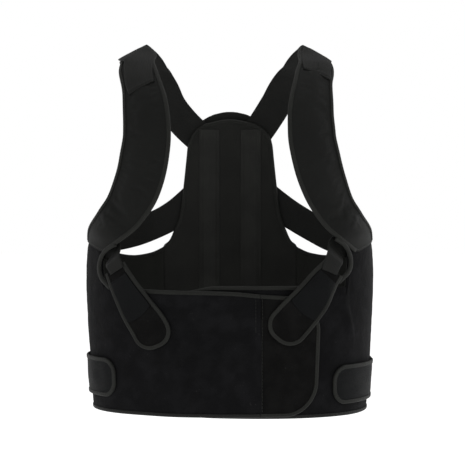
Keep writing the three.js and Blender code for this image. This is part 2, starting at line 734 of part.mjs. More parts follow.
/** The hanging tab at the end of a strap: its cloth, its binding and its hook patch. */
function tongue(name) {
  const route = new Route(sides[name], tongueRows[name]);
  const place = (across, along, lift) => {
    const { turn, level } = route.place(across, along);
    return liftedPoint(route.side, turn, level, tongueSeat(name, turn, level) + lift);
  };
  const path = roundEnded(route, tongueWidth, 0, tongueLength, tongueWidth / 2);
  const { cloth, binding } = boundPiece(path, 4, tongueThickness, place);
  const outer = tongueThickness + bindingProud + layerGap;
  const hookStations = route.stations(hookShare.start * tongueLength, hookShare.end * tongueLength);
  const hook = wall(hookStations.length - 1, 4, (row, column, face) => {
    const along = hookStations[row];
    const half = (tongueWidth * route.at(along).width) / 2 - bindingWidth - 2 * layerGap;
    return place((column / 2 - 1) * half, along, outer + face * hookThickness);
  });
  return [
    piece(`tongue_${name}`, cloth, 'plush'),
    piece(`tongue_binding_${name}`, binding, 'binding'),
    piece(`tongue_hook_${name}`, hook, 'hook'),
  ];
}

/** Turns at even distances round the body. */
function turnsBetween(side, from, to) {
  const level = 0.5;
  const steps = Math.ceil(Math.abs(to - from));
  const turns = Array.from({ length: steps + 1 }, (_, i) => from + ((to - from) * i) / steps);
  const lengths = [0];
  turns.slice(1).forEach((turn, i) => {
    lengths.push(lengths[i] + skinPoint(side, turn, level).distanceTo(skinPoint(side, turns[i], level)));
  });
  const count = Math.ceil(lengths[steps] / facetLength);
  const even = new Column(turns.map((turn, i) => ({ turn, length: lengths[i] })), 'length', 'turn');
  return Array.from({ length: count + 1 }, (_, i) => even.read((lengths[steps] * i) / count));
}

/** One side wing of the belt with its top and hem bindings. */
function wing(name) {
  const side = sides[name];
  const rows = wingRows[name];
  const top = new Column(rows, 'turn', 'top');
  const hem = new Column(rows, 'turn', 'hem');
  const backX = panelHalfWidth + layerGap;
  const frontX = name === 'left' ? layerGap / 2 - closureSeam : -underlapReach;
  const spineX = layerGap / 2;
  const middle = 0.5;
  const [back, front] = [turnAt(side, backX, -1, middle), turnAt(side, frontX, 1, middle)];
  const [notchBack, notchFront] = notchTurns[name];
  const behindNotch = turnsBetween(side, back, notchBack);
  const beforeNotch = turnsBetween(side, notchFront, front);
  const bound = bindingWidth / underarmHeight;
  const clear = (bindingWidth + layerGap) / underarmHeight;

  const place = (turn, level, lift) => {
    const marks = turn < back ? [[spineX, -1], [backX, -1]] : [[backX, -1], [frontX, 1]];
    const [start, end] = marks.map(([x, facing]) => turnAt(side, x, facing, middle));
    const [from, to] = marks.map(([x, facing]) => turnAt(side, x, facing, level));
    const here = from + ((to - from) * (turn - start)) / (end - start);
    return liftedPoint(side, here, level, wrapLift(name, turn) + lift);
  };
  const band = (turns, from, to, columns, under, over) => {
    return wall(turns.length - 1, columns, (row, column, face) => {
      const turn = turns[row];
      const level = THREE.MathUtils.lerp(from(turn), to(turn), column / columns);
      const lift = face ? over : under;
      return place(turn, level, lift + (columns > 1 ? crease(name, turn, level) : 0));
    });
  };
  const edge = (turns, from, to) => band(turns, from, to, 1, -bindingProud, wingThickness + bindingProud);
  const topEdge = (turns) => edge(turns, (turn) => top.read(turn) - bound, (turn) => top.read(turn));
  const hemEdge = (turns) => edge(turns, (turn) => hem.read(turn), (turn) => hem.read(turn) + bound);

  const cloth = band(
    [...behindNotch, ...beforeNotch],
    (turn) => hem.read(turn) + clear,
    (turn) => top.read(turn) - clear,
    5,
    0,
    wingThickness,
  );
  const behindPanelTurns = turnsBetween(side, turnAt(side, spineX, -1, middle), back).slice(0, -1);
  const hemTurns = [...behindPanelTurns, ...behindNotch, ...beforeNotch];
  return [
    piece(`wing_${name}`, cloth, 'plush'),
    piece(`wing_top_binding_${name}`, topEdge(behindNotch), 'binding'),
    piece(`wing_front_binding_${name}`, topEdge(beforeNotch), 'binding'),
    piece(`wing_hem_binding_${name}`, hemEdge(hemTurns), 'binding'),
  ];
}

/** The height of the fold that runs down the right wing, in front of the arm. */
function crease(name, turn, level) {
  if (name === 'left') return 0;
  const { turnBottom, turnTop, bottom, top, height, width } = creaseRows;
  const share = (level - bottom) / (top - bottom);
  const away = Math.abs(turn - THREE.MathUtils.lerp(turnBottom, turnTop, share));
  return height * ease(away, width, 0) * ease(Math.abs(share - 0.5), 0.5, 0.3);
}

/** The tab at the front end of the left wing that closes the belt. */
function closureTab() {
  const start = closureSeam + layerGap / 2;
  const high = heightOf(closureEdge.top);
  const seamHigh = heightOf(closureEdge.seamTop);
  const straight = [start, (start + closureReach - closureCorner) / 2, closureReach - closureCorner];
  const top = straight.map((x) => [x, high]);
  for (let step = 1; step <= arcSteps; step += 1) {
    const angle = (Math.PI / 2) * (step / arcSteps);
    const x = closureReach - closureCorner + closureCorner * Math.sin(angle);
    top.push([x, high - closureCorner + closureCorner * Math.cos(angle)]);
  }
  const outline = [...top, ...top.map(([x, z]) => [x, high - z]).reverse()].map(([x, z]) => {
    const out = (x - start) / (closureReach - start);
    const stretched = z * THREE.MathUtils.lerp(seamHigh / high, 1, out);
    return [x - closureEdge.sweep * out * (1 - z / high), stretched];
  });
  const { cloth, binding } = boundPiece(outline, 7, closureThickness, (x, z, lift) => {
    return frontPoint(x, z, wingOuter + lift);
  });
  return [piece('closure_tab', cloth, 'plush'), piece('closure_binding', binding, 'binding')];
}

/** The elastic band from the back and the bound tab at its end. */
function pullBand(name) {
  const route = new Route(sides[name], pullRows[name]);
  const tabStart = route.length - pullTabLength;
  const path = roundEnded(route, pullBandWidth, tabStart, route.length, pullTabCorner);
  const { cloth, binding } = boundPiece(path, 3, bandThickness, (across, along, lift) => {
    const { turn, level } = route.place(across, along);
    return liftedPoint(route.side, turn, level, route.at(along).lift + lift);
  });
  const band = strip(route, pullBandWidth, bandThickness, { to: tabStart - layerGap });
  return [
    piece(`pull_band_${name}`, band, 'webbing'),
    piece(`pull_tab_${name}`, cloth, 'hook'),
    piece(`pull_tab_binding_${name}`, binding, 'binding'),
  ];
}

/** A group of pieces. */
function assembly(...pieces) {
  const group = new THREE.Group();
  group.add(...pieces.flat(Infinity));
  return group;
}

const both = Object.keys(sides);
const brace = assembly(
  assembly(backPanel(), stayChannels(), backCover()),
  assembly(both.map(shoulderPad), both.map(crossStrap)),
  assembly(both.map(wing), closureTab(), both.map(strapLoop), both.map(pullBand)),
  assembly(both.map(tongue)),
);
brace.position.z = -underarmHeight - shoulderRise;

export default brace;
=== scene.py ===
"""A posture corrector as it stands when worn: back panel, wrap-over belt, padded straps and tabs.

Every piece lies on one body surface. A spot on it is a side of the body, a turn in degrees round the body
from that side (0 straight out, 90 the middle of the chest, -90 the middle of the back) and a level (0 the
hem, 1 the underarm, 2 the top of the shoulders). A lift is a distance outwards from that surface. Tables
and sizes are in millimetres, and meshes in metres.
"""

import logging
import math
from dataclasses import dataclass, replace
from enum import Enum
from typing import Callable, Iterable

import bpy
import numpy as np
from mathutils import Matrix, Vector


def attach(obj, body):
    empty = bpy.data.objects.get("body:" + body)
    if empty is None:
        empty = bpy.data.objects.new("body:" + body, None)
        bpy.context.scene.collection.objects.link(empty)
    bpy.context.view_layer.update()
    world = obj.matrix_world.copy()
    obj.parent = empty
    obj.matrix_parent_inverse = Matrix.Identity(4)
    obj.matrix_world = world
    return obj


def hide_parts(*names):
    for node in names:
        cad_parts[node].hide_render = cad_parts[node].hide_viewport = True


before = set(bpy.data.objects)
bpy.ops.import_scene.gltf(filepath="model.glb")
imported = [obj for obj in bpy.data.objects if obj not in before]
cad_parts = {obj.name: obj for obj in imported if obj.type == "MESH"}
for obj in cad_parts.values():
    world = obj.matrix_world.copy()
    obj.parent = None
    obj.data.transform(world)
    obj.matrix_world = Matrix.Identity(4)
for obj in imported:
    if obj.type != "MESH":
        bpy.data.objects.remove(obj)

log = logging.getLogger("brace")
Array = np.ndarray
Table = dict[str, Array]

MM = 0.001
ROOT = "root"

# Body and overall sizes, as in the part
UNDERARM = 205.0
RISE = 216.0
CHEST_HALF_WIDTH = 169.0
BELLY_DEPTH = 108.0
SPINE_DEPTH = 109.0
SQUARENESS = 2.3

# Layers and how they lie on each other
WING = 3.5
PAD = 4.0
PANEL = 4.0
COVER = 2.5
CHANNEL = 2.5
STRAP = 2.0
TONGUE = 2.2
HOOK = 0.8
CLOSURE = 2.6
BAND = 2.2
BINDING = 4.5
PROUD = 0.4
GAP = 0.6
TUCK = 0.55 * BINDING

PANEL_HALF_WIDTH = 84.0
CHANNEL_WIDTH = 26.0
CHANNEL_SPACING = 53.0
STRAP_WIDTH = 38.0
PAD_WIDTH = 62.0
TONGUE_WIDTH = 46.0
TONGUE_LENGTH = 104.0
LOOP_WIDTH = 5.4
PULL_WIDTH = 45.0
PULL_TAB_LENGTH = 96.0
CLOSURE_SEAM = 33.5
CLOSURE_REACH = 101.0
CLOSURE_CORNER = 38.0
UNDERLAP = 45.0

# Lifts of the layers, from the body outwards
WING_OUTER = WING + PROUD + GAP
INSIDE_WING = -PROUD - 2 * GAP - STRAP
BEHIND_PANEL = PANEL + PROUD + GAP
BEHIND_STRAP = BEHIND_PANEL + STRAP + GAP
BEHIND_STRAPS = BEHIND_STRAP + STRAP + GAP
OVER_PAD = PAD + 2 * PROUD + 2 * GAP
TONGUE_DEPTH = TONGUE + 2 * PROUD + GAP
CLOSURE_DEPTH = CLOSURE + 2 * PROUD + GAP
WRAP_DEPTH = WING + 2 * PROUD + GAP
BAND_SEAT = max(PANEL + GAP, WING_OUTER)
LOOP_SEAT = WING_OUTER + 0.4

# Fineness of the cloth and of the tape
CLOTH_PITCH = 2.6
TAPE_PITCH = 1.3
STITCH_PITCH = 3.9
SEAM_PITCH = 1.0
WALK_STEP = 6.0
TINY = 1e-9

# The way that a face of the body looks
FRONT = 1
REAR = -1


def table(columns: str, *rows: tuple[float, ...]) -> Table:
    """Makes a table with named columns.

    Args:
        columns: The names of the columns, apart by spaces.
        *rows: The values of each row, in the order of the names.

    Returns:
        One array for each column.
    """
    return dict(zip(columns.split(), np.array(rows, float).T))


# Half widths are shares of the chest's, front and back depths of the belly's and the spine's
BODY = table(
    "level left right front back",
    (0, 0.944, 0.944, 0.963, 0.899),
    (0.293, 0.967, 0.967, 0.981, 0.881),
    (0.537, 0.985, 0.985, 0.991, 0.872),
    (0.78, 0.994, 0.994, 1, 0.899),
    (0.9, 0.985, 0.985, 1, 0.92),
    (0.976, 0.975, 0.975, 1, 0.936),
    (1.162, 0.966, 0.966, 1, 0.972),
    (1.394, 0.955, 0.955, 0.991, 1),
    (1.532, 0.935, 0.935, 0.963, 1),
    (1.671, 0.9, 0.888, 0.87, 0.963),
    (1.81, 0.864, 0.817, 0.685, 0.862),
    (1.912, 0.805, 0.734, 0.463, 0.697),
    (1.981, 0.672, 0.6, 0.222, 0.422),
    (2.028, 0.548, 0.476, 0.093, 0.229),
    (2.069, 0.405, 0.335, 0.037, 0.11),
)
PANEL_HALF = table(
    "level half",
    (0, 1), (0.927, 1), (0.961, 0.917), (1.019, 0.851), (1.09, 0.78), (1.157, 0.744), (1.278, 0.708),
    (1.454, 0.661), (1.523, 0.643), (1.569, 0.607), (1.606, 0.548), (1.634, 0.464), (1.653, 0.369),
    (1.66, 0.286),
)
COVER_HALF = table(
    "level half",
    (0.951, 0.88), (1.019, 0.833), (1.09, 0.762), (1.157, 0.726), (1.278, 0.69), (1.335, 0.675),
    (1.412, 0.655), (1.454, 0.643), (1.523, 0.625), (1.569, 0.6), (1.606, 0.55), (1.639, 0.49),
    (1.666, 0.41), (1.684, 0.33), (1.698, 0.24),
)
PANEL_FREE = 0.927
CHANNEL_BOTTOM = 0.1
CHANNEL_TOP = 1.62
CROSSING = 1.412
COVER_HEM = 20.0


class Side(Enum):
    """A side of the body, as its sign along X in the front view."""

    LEFT = -1
    RIGHT = 1

    @property
    def word(self) -> str:
        """The side's name as the pieces have it."""
        return self.name.lower()


WING_EDGE = {
    Side.LEFT: table(
        "turn top hem",
        (-50, 0.962, 0), (-48, 0.948, 0), (-44.8, 0.918, 0), (-38, 0.884, 0), (-31, 0.872, 0),
        (-22, 0.888, 0), (-11.5, 0.937, 0), (0, 0.985, 0), (9, 0.985, 0), (23, 0.95, 0),
        (24.6, 0.722, 0), (30, 0.717, 0), (46, 0.698, 0), (90, 0.688, 0), (108, 0.673, 0),
    ),
    Side.RIGHT: table(
        "turn top hem",
        (-50, 0.962, 0), (-48, 0.948, 0), (-44.8, 0.918, 0), (-38, 0.884, 0), (-31, 0.872, 0),
        (-22, 0.888, 0), (-11.5, 0.937, -0.003), (0, 0.985, -0.007), (9, 0.985, -0.01),
        (28.6, 0.95, -0.014), (30.2, 0.722, -0.014), (34, 0.717, -0.014), (98, 0.717, -0.007), (114, 0.69, 0),
    ),
}
NOTCH = {Side.LEFT: (23.0, 24.6), Side.RIGHT: (28.6, 30.2)}
WRAP_START, WRAP_END = 38.0, 62.0

# Routes of the straps, pads and tabs: the lift is that of the under side, the width a share
STRAP_ROUTE = {
    Side.RIGHT: table(
        "turn level lift width",
        (26.3, 1.847, OVER_PAD, 0.86), (18, 1.912, OVER_PAD, 0.93), (0, 1.981, OVER_PAD, 0.97),
        (-15, 1.97, OVER_PAD, 1), (-31, 1.937, 0, 1), (-49, 1.854, 0, 1), (-60, 1.743, BEHIND_PANEL, 1),
        (-71.9, 1.604, BEHIND_PANEL, 1), (-81, 1.515, BEHIND_STRAP, 1), (-92.7, 1.412, BEHIND_STRAP, 1),
        (-104, 1.305, BEHIND_STRAP, 1), (-114.9, 1.2, BEHIND_PANEL, 1), (-124.6, 1.124, BEHIND_PANEL, 0.95),
        (-134.2, 1.066, BEHIND_PANEL, 0.92), (-145.7, 1.014, 0, 0.92), (-156, 0.988, INSIDE_WING, 0.92),
        (-180, 0.955, INSIDE_WING, 0.92), (-194.7, 0.956, INSIDE_WING, 0.88),
        (-202, 0.937, INSIDE_WING, 0.8), (-207.6, 0.904, INSIDE_WING, 0.72),
        (-211, 0.843, WING_OUTER + TONGUE_DEPTH, 0.58), (-213.6, 0.78, WING_OUTER + TONGUE_DEPTH, 0.5),
    ),
    Side.LEFT: table(
        "turn level lift width",
        (33, 1.768, OVER_PAD, 0.84), (17, 1.921, OVER_PAD, 0.94), (0, 1.981, OVER_PAD, 0.97),
        (-15, 1.966, OVER_PAD, 1), (-30.5, 1.921, 0, 1), (-43.2, 1.838, 0, 1), (-51.1, 1.745, 0, 1),
        (-59.7, 1.657, BEHIND_PANEL, 1), (-66.2, 1.602, BEHIND_PANEL, 1), (-90, 1.417, BEHIND_PANEL, 1),
        (-114.6, 1.212, BEHIND_PANEL, 1), (-131, 1.098, BEHIND_PANEL, 0.92), (-141, 1.034, 0, 0.92),
        (-150.5, 0.98, INSIDE_WING, 0.92), (-158.2, 0.95, INSIDE_WING, 0.92),
        (-180, 0.935, INSIDE_WING, 0.92), (-196, 0.945, INSIDE_WING, 0.88),
        (-205.5, 0.95, INSIDE_WING, 0.8), (-212.6, 0.926, INSIDE_WING, 0.74),
        (-216.8, 0.86, WING_OUTER + TONGUE_DEPTH, 0.6), (-219.6, 0.773, WING_OUTER + TONGUE_DEPTH, 0.5),
    ),
}
PAD_ROUTE = {
    Side.RIGHT: table(
        "turn level lift width",
        (-5, 1.975, 0, 0.6), (2, 1.98, 0, 0.65), (11, 1.948, 0, 0.69), (20.3, 1.894, 0, 0.71),
        (30.4, 1.815, 0, 0.76), (40.8, 1.662, 0, 0.9), (44, 1.523, 0, 0.96), (42.5, 1.384, 0, 0.98),
        (39, 1.255, 0, 0.96), (33.4, 1.125, 1.2, 0.86), (27, 1.037, WING_OUTER, 0.75),
        (19.2, 0.961, WING_OUTER, 0.69), (9.8, 0.86, WING_OUTER, 0.74),
    ),
    Side.LEFT: table(
        "turn level lift width",
        (-5, 1.975, 0, 0.6), (2, 1.98, 0, 0.65), (10, 1.955, 0, 0.69), (17.9, 1.903, 0, 0.71),
        (29.3, 1.806, 0, 0.76), (38.8, 1.671, 0, 0.9), (43.4, 1.532, 0, 0.96), (42.9, 1.384, 0, 1),
        (40, 1.255, 0, 1), (34, 1.125, 1.2, 0.91), (27, 1.037, WING_OUTER, 0.79),
        (19, 0.961, WING_OUTER, 0.72), (9.8, 0.86, WING_OUTER, 0.74),
    ),
}
TONGUE_ROUTE = {
    Side.LEFT: table(
        "turn level lift width",
        (31.2, 0.812, 0, 0.66), (35, 0.72, 0, 0.76), (41.6, 0.585, 0, 0.93), (47.6, 0.478, 0, 1),
        (52.8, 0.34, 0, 1),
    ),
    Side.RIGHT: table(
        "turn level lift width",
        (36.6, 0.812, 0, 0.66), (41, 0.748, 0, 0.76), (47.6, 0.639, 0, 0.93), (56.4, 0.522, 0, 1),
        (66.5, 0.4, 0, 1),
    ),
}
LOOP_ROUTE = {
    Side.LEFT: table(
        "turn level lift width",
        (31.6, 0.943, LOOP_SEAT, 1), (28, 0.92, LOOP_SEAT, 1), (25.3, 0.892, LOOP_SEAT, 1),
        (23.6, 0.855, LOOP_SEAT, 1), (23.1, 0.81, LOOP_SEAT, 1), (24.2, 0.762, LOOP_SEAT, 1),
        (28.6, 0.698, WING_OUTER - 2, 1),
    ),
    Side.RIGHT: table(
        "turn level lift width",
        (35.5, 0.975, LOOP_SEAT, 1), (32.6, 0.952, LOOP_SEAT, 1), (30.4, 0.924, LOOP_SEAT, 1),
        (28.9, 0.885, LOOP_SEAT, 1), (28.4, 0.842, LOOP_SEAT, 1), (29.4, 0.798, LOOP_SEAT, 1),
        (34, 0.733, WING_OUTER - 2, 1),
    ),
}
PULL_ROUTE = {
    Side.LEFT: table(
        "turn level lift width",
        (-76, 0.22, BAND_SEAT, 1), (-50, 0.22, BAND_SEAT, 1), (-25, 0.21, BAND_SEAT, 1),
        (0, 0.203, BAND_SEAT, 1), (30, 0.2, BAND_SEAT, 1),
    ),
    Side.RIGHT: table(
        "turn level lift width",
        (-76, 0.22, BAND_SEAT, 1), (-50, 0.215, BAND_SEAT, 1), (-25, 0.195, BAND_SEAT, 1),
        (0, 0.175, BAND_SEAT, 1), (35.5, 0.163, BAND_SEAT, 1),
    ),
}


def ease(x: Array | float, start: Array | float, end: Array | float) -> Array:
    """How far x has gone from start to end, from 0 to 1, eased at both."""
    share = np.clip((np.asarray(x, float) - start) / (np.asarray(end, float) - start), 0, 1)
    return share * share * (3 - 2 * share)


def unit(vectors: Array) -> Array:
    """The vectors at length 1."""
    return vectors / np.maximum(np.linalg.norm(vectors, axis=-1, keepdims=True), TINY)


class Column:
    """A smooth curve through one column of a table, which doesn't overshoot between the rows."""

    def __init__(self, x: Array, y: Array) -> None:
        """Works out the slopes at the rows.

        Args:
            x: Where the rows are, rising.
            y: Their values.
        """
        self.x, self.y = np.asarray(x, float), np.asarray(y, float)
        rise = np.diff(self.y) / np.diff(self.x)
        before = np.concatenate([rise[:1], rise])
        after = np.concatenate([rise, rise[-1:]])
        total = np.where(before * after > 0, before + after, 1.0)
        self.slope = np.where(before * after > 0, 2 * before * after / total, 0.0)

    def read(self, x: Array | float) -> Array:
        """The curve's values at x."""
        at = np.clip(x, self.x[0], self.x[-1])
        i = np.clip(np.searchsorted(self.x, at, side="left") - 1, 0, len(self.x) - 2)
        span = self.x[i + 1] - self.x[i]
        t = (at - self.x[i]) / span
        bend = t * t * (3 - 2 * t)
        lean = t * (1 - t) * span * ((1 - t) * self.slope[i] - t * self.slope[i + 1])
        return self.y[i] * (1 - bend) + self.y[i + 1] * bend + lean


def height_of(level: Array | float) -> Array:
    """The height over the hem of a level."""
    level = np.asarray(level, float)
    return np.where(level <= 1, level * UNDERARM, UNDERARM + (level - 1) * RISE)


def level_of(height: Array | float) -> Array:
    """The level of a height over the hem."""
    height = np.asarray(height, float)
    return np.where(height <= UNDERARM, height / UNDERARM, 1 + (height - UNDERARM) / RISE)


class Skin:
    """The body surface that every piece lies on."""

    def __init__(self, rows: Table) -> None:
        """Keeps the curves of the body's table."""
        self.columns = {key: Column(rows["level"], rows[key]) for key in ("left", "right", "front", "back")}

    def section(self, side: int, x: Array, facing: Array | float, level: Array) -> tuple[Array, Array]:
        """Half width and depth of the quarter of the body's section that a direction points into."""
        left, right = self.columns["left"].read(level), self.columns["right"].read(level)
        front, back = self.columns["front"].read(level), self.columns["back"].read(level)
        half = CHEST_HALF_WIDTH * np.where(side * x < 0, left, right)
        return half, np.where(np.asarray(facing) > 0, BELLY_DEPTH * front, SPINE_DEPTH * back)

    def point(self, side: int, turn: Array, level: Array) -> Array:
        """Points of the body surface.

        Args:
            side: The sign of the side that the turns start from.
            turn: Turns in degrees.
            level: Levels.

        Returns:
            The points, along the last axis.
        """
        angle = np.radians(turn)
        x, y = np.cos(angle), np.sin(angle)
        half, depth = self.section(side, x, y, level)
        bulk = np.abs(x / half) ** SQUARENESS + np.abs(y / depth) ** SQUARENESS
        reach = bulk ** (-1 / SQUARENESS)
        return np.stack([side * reach * x, -reach * y, height_of(level) + 0 * reach], -1)

    def slopes(self, side: int, turn: Array, level: Array) -> tuple[Array, Array]:
        """How far the surface moves for each degree of turn and for each level."""
        small = 0.01
        around = self.point(side, turn + small, level) - self.point(side, turn - small, level)
        up = self.point(side, turn, level + small) - self.point(side, turn, level - small)
        return around / (2 * small), up / (2 * small)

    def outward(self, side: int, turn: Array, level: Array) -> Array:
        """The directions straight out of the surface."""
        around, up = self.slopes(side, turn, level)
        return unit(np.cross(up, around) * side)

    def lifted(self, side: int, turn: Array, level: Array, lift: Array | float) -> Array:
        """Points that are lifted off the surface."""
        high = np.asarray(lift, float)[..., None]
        return self.point(side, turn, level) + self.outward(side, turn, level) * high

    def turn_at(self, side: int, x: Array, facing: float, level: Array) -> Array:
        """The turn at a distance x to the side, in front (facing FRONT) or behind (facing REAR)."""
        x = np.asarray(x, float)
        half, depth = self.section(side, x, facing, level)
        y = depth * (1 - np.minimum(1, np.abs(x / half)) ** SQUARENESS) ** (1 / SQUARENESS)
        return np.degrees(np.arctan2(facing * y, x))

    def walk(
        self, side: int, turn: Array, level: Array, heading: Array, distance: Array
    ) -> tuple[Array, Array]:
        """Where straight walks over the surface end.

        Args:
            side: The sign of the side that the turns start from.
            turn: Turns of the starts.
            level: Levels of the starts.
            heading: Directions of the walks.
            distance: Their lengths.

        Returns:
            The turns and the levels of the ends.
        """
        steps = max(1, math.ceil(float(np.max(distance, initial=0)) / WALK_STEP))
        for _ in range(steps):
            around, up = self.slopes(side, turn, level)
            a, b, c = (around * around).sum(-1), (around * up).sum(-1), (up * up).sum(-1)
            p, q = (heading * around).sum(-1), (heading * up).sum(-1)
            turning = (c * p - b * q) / (a * c - b * b)
            rising = (a * q - b * p) / (a * c - b * b)
            heading = around * turning[..., None] + up * rising[..., None]
            length = np.maximum(np.linalg.norm(heading, axis=-1), TINY)
            turn = turn + turning * distance / steps / length
            level = level + rising * distance / steps / length
            heading = unit(heading)
        return turn, level


SKIN = Skin(BODY)


def centripetal(points: Array, steps: int) -> Array:
    """A centripetal Catmull-Rom curve.

    Args:
        points: The points that it goes through.
        steps: The number of steps between two points.

    Returns:
        The points of the curve, in even steps of its parameter.
    """
    ends = [2 * points[0] - points[1], 2 * points[-1] - points[-2]]
    p = np.concatenate([ends[:1], points, ends[1:]])
    gap = np.sqrt(np.linalg.norm(np.diff(p, axis=0), axis=1))[:, None]
    p0, p1, p2, p3 = p[:-3], p[1:-2], p[2:-1], p[3:]
    g0, g1, g2 = gap[:-2], gap[1:-1], gap[2:]
    t1 = ((p1 - p0) / g0 - (p2 - p0) / (g0 + g1) + (p2 - p1) / g1) * g1
    t2 = ((p2 - p1) / g1 - (p3 - p1) / (g1 + g2) + (p3 - p2) / g2) * g1
    t = (np.arange(steps) / steps)[None, :, None]
    a, b = p1[:, None], t1[:, None]
    c = (3 * (p2 - p1) - 2 * t1 - t2)[:, None]
    d = (2 * (p1 - p2) + t1 + t2)[:, None]
    curve = (a + b * t + c * t**2 + d * t**3).reshape(-1, points.shape[1])
    return np.concatenate([curve, points[-1:]])


def paired(across: Array, along: Array) -> list[Array]:
    """Places across and along as two arrays of one shape."""
    return np.broadcast_arrays(np.asarray(across, float), np.asarray(along, float))


class Surface:
    """A flat piece's place on the body: (across, along) in the piece to a spot on the body."""

    side: int = 1

    def spot(self, across: Array, along: Array) -> tuple[Array, Array, Array]:
        """The turn, the level and the lift of the piece's under side."""
        raise NotImplementedError

    def points(self, across: Array, along: Array, lift: Array | float) -> Array:
        """The points that lie a lift over the piece's under side."""
        turn, level, seat = self.spot(*paired(across, along))
        return SKIN.lifted(self.side, turn, level, seat + lift)

    def normals(self, across: Array, along: Array) -> Array:
        """The directions straight out of the piece."""
        turn, level, _ = self.spot(*paired(across, along))
        return SKIN.outward(self.side, turn, level)


class Route(Surface):
    """A smooth route over the body through the rows of a table."""

    def __init__(self, side: Side, rows: Table, seat: Callable[[Array, Array], Array] | None = None) -> None:
        """Samples the route.

        Args:
            side: The side that the turns start from.
            rows: Turns, levels, lifts and shares of the width.
            seat: An added lift for turns and levels.
        """
        self.side = side.value
        self.seat = seat
        per_level, steps = 80.0, 24
        curve = centripetal(np.stack([rows["turn"], rows["level"] * per_level], 1), steps)
        number = np.arange(len(rows["turn"]), dtype=float)
        at = np.linspace(0, number[-1], len(curve))
        self.turn, self.level = curve[:, 0], curve[:, 1] / per_level
        self.lift = Column(number, rows["lift"]).read(at)
        self.share = Column(number, rows["width"]).read(at)
        way = SKIN.lifted(self.side, self.turn, self.level, self.lift)
        stride = np.linalg.norm(np.diff(way, axis=0), axis=1)
        self.along = np.concatenate([[0.0], np.cumsum(stride)])
        self.length = float(self.along[-1])

    def at(self, along: Array, key: str) -> Array:
        """One of the route's values at lengths along it."""
        return np.interp(along, self.along, getattr(self, key))

    def spot(self, across: Array, along: Array) -> tuple[Array, Array, Array]:
        """The turn, the level and the lift of the piece's under side."""
        turn, level = self.at(along, "turn"), self.at(along, "level")
        ends = [np.clip(along + step, 0, self.length) for step in (1.0, -1.0)]
        ahead, behind = (
            SKIN.lifted(self.side, self.at(end, "turn"), self.at(end, "level"), self.at(end, "lift"))
            for end in ends
        )
        sideways = np.cross(ahead - behind, SKIN.outward(self.side, turn, level))
        sideways = unit(sideways * (np.sign(across) * self.side)[..., None])
        lift = self.at(along, "lift")
        turn, level = SKIN.walk(self.side, turn, level, sideways, np.abs(across))
        return turn, level, lift + (self.seat(turn, level) if self.seat else 0)


@dataclass
class Face(Surface):
    """The front or the back of the body, where across is a distance in x and along a height."""

    facing: int
    lift: Callable[[Array, Array], Array] | float = 0.0

    def spot(self, across: Array, along: Array) -> tuple[Array, Array, Array]:
        """The turn, the level and the lift of the piece's under side."""
        level = level_of(along)
        lift = self.lift(across, along) if callable(self.lift) else self.lift + 0 * across
        return SKIN.turn_at(1, across, self.facing, level), level, lift


@dataclass
class Ripple:
    """Soft unevenness of cloth, a sum of a few waves whose directions a seed picks."""

    height: float
    wavelength: float
    seed: int
    stretch: float = 1.0

    def read(self, across: Array, along: Array) -> Array:
        """The height of the ripple at places in a piece."""
        draw = np.random.default_rng(self.seed)
        total = 0 * np.asarray(across, float)
        waves, shortest, longest = 7, 0.6, 1.7
        for _ in range(waves):
            angle, phase = draw.uniform(0, math.tau), draw.uniform(0, math.tau)
            scale = draw.uniform(shortest, longest)
            reach = math.tau / (self.wavelength * scale)
            way = across * math.cos(angle) + along * math.sin(angle) / self.stretch
            total = total + np.sin(reach * way + phase)
        return self.height * total / math.sqrt(waves)


@dataclass
class Cut:
    """The size that a piece of cloth was cut to, in millimetres."""

    width: float
    length: float
    area: float

    @classmethod
    def of(cls, outline: Array) -> "Cut":
        """Measures an outline."""
        span = np.ptp(outline, axis=0)
        x, y = outline.T
        area = abs(float(np.dot(x, np.roll(y, -1)) - np.dot(y, np.roll(x, -1)))) / 2
        return cls(float(span[0]), float(span[1]), area)


def rounded_steps(length: float, rim: float, pitch: float) -> Array:
    """Distances over a piece of cloth, close together over its two rounded rims.

    Args:
        length: How wide the piece is.
        rim: How far in its rims are round.
        pitch: The distance between the others.

    Returns:
        The distances, from 0 to the length.
    """
    turns = 3
    rim = min(rim, length / 3)
    near = rim * (1 - np.cos(np.arange(turns) / turns * math.pi / 2))
    count = max(2, math.ceil((length - 2 * rim) / pitch))
    middle = np.linspace(rim, length - rim, count + 1)
    return np.concatenate([near, middle, length - near[::-1]])


def rim_share(distance: Array, rim: float) -> Array:
    """How thick the cloth is at a distance from its edge, as a share."""
    return np.sqrt(np.clip(1 - (1 - np.clip(distance / rim, 0, 1)) ** 2, 0, 1))


def both_faces(thickness: Array | float, rise: Array) -> tuple[Array, Array]:
    """The lifts of the under and the over face of cloth that is as thick as rise says, as a share."""
    return thickness / 2 * (1 - rise), thickness / 2 * (1 + rise)


def line_of_sewing(distance: Array, width: float) -> Array:
    """How far a seam pulls the cloth down at a distance from it, from 0 to 1."""
    return np.exp(-((distance / width) ** 2))


def strip_grid(columns: Array, stations: Array) -> tuple[Array, Array]:
    """The places across and along a straight strip, from those of its columns and its rows."""
    across = columns[None, :] + 0 * stations[:, None]
    return across, stations[:, None] + 0 * across


def lengths(way: Array) -> Array:
    """The length along a line up to each of its points."""
    return np.concatenate([[0.0], np.cumsum(np.linalg.norm(np.diff(way, axis=0), axis=1))])


def spaced(points: Array, pitch: float) -> Array:
    """A line resampled to even steps.

    Args:
        points: The points of the line.
        pitch: The length of a step, which is rounded to fit.

    Returns:
        The new points.
    """
    along = lengths(points)
    count = max(2, round(along[-1] / pitch))
    at = np.linspace(0, along[-1], count + 1)
    return np.stack([np.interp(at, along, points[:, k]) for k in range(points.shape[1])], 1)


def ruled(start: tuple[float, float], end: tuple[float, float], pitch: float) -> Array:
    """A straight line in even steps."""
    return spaced(np.array([start, end], float), pitch)


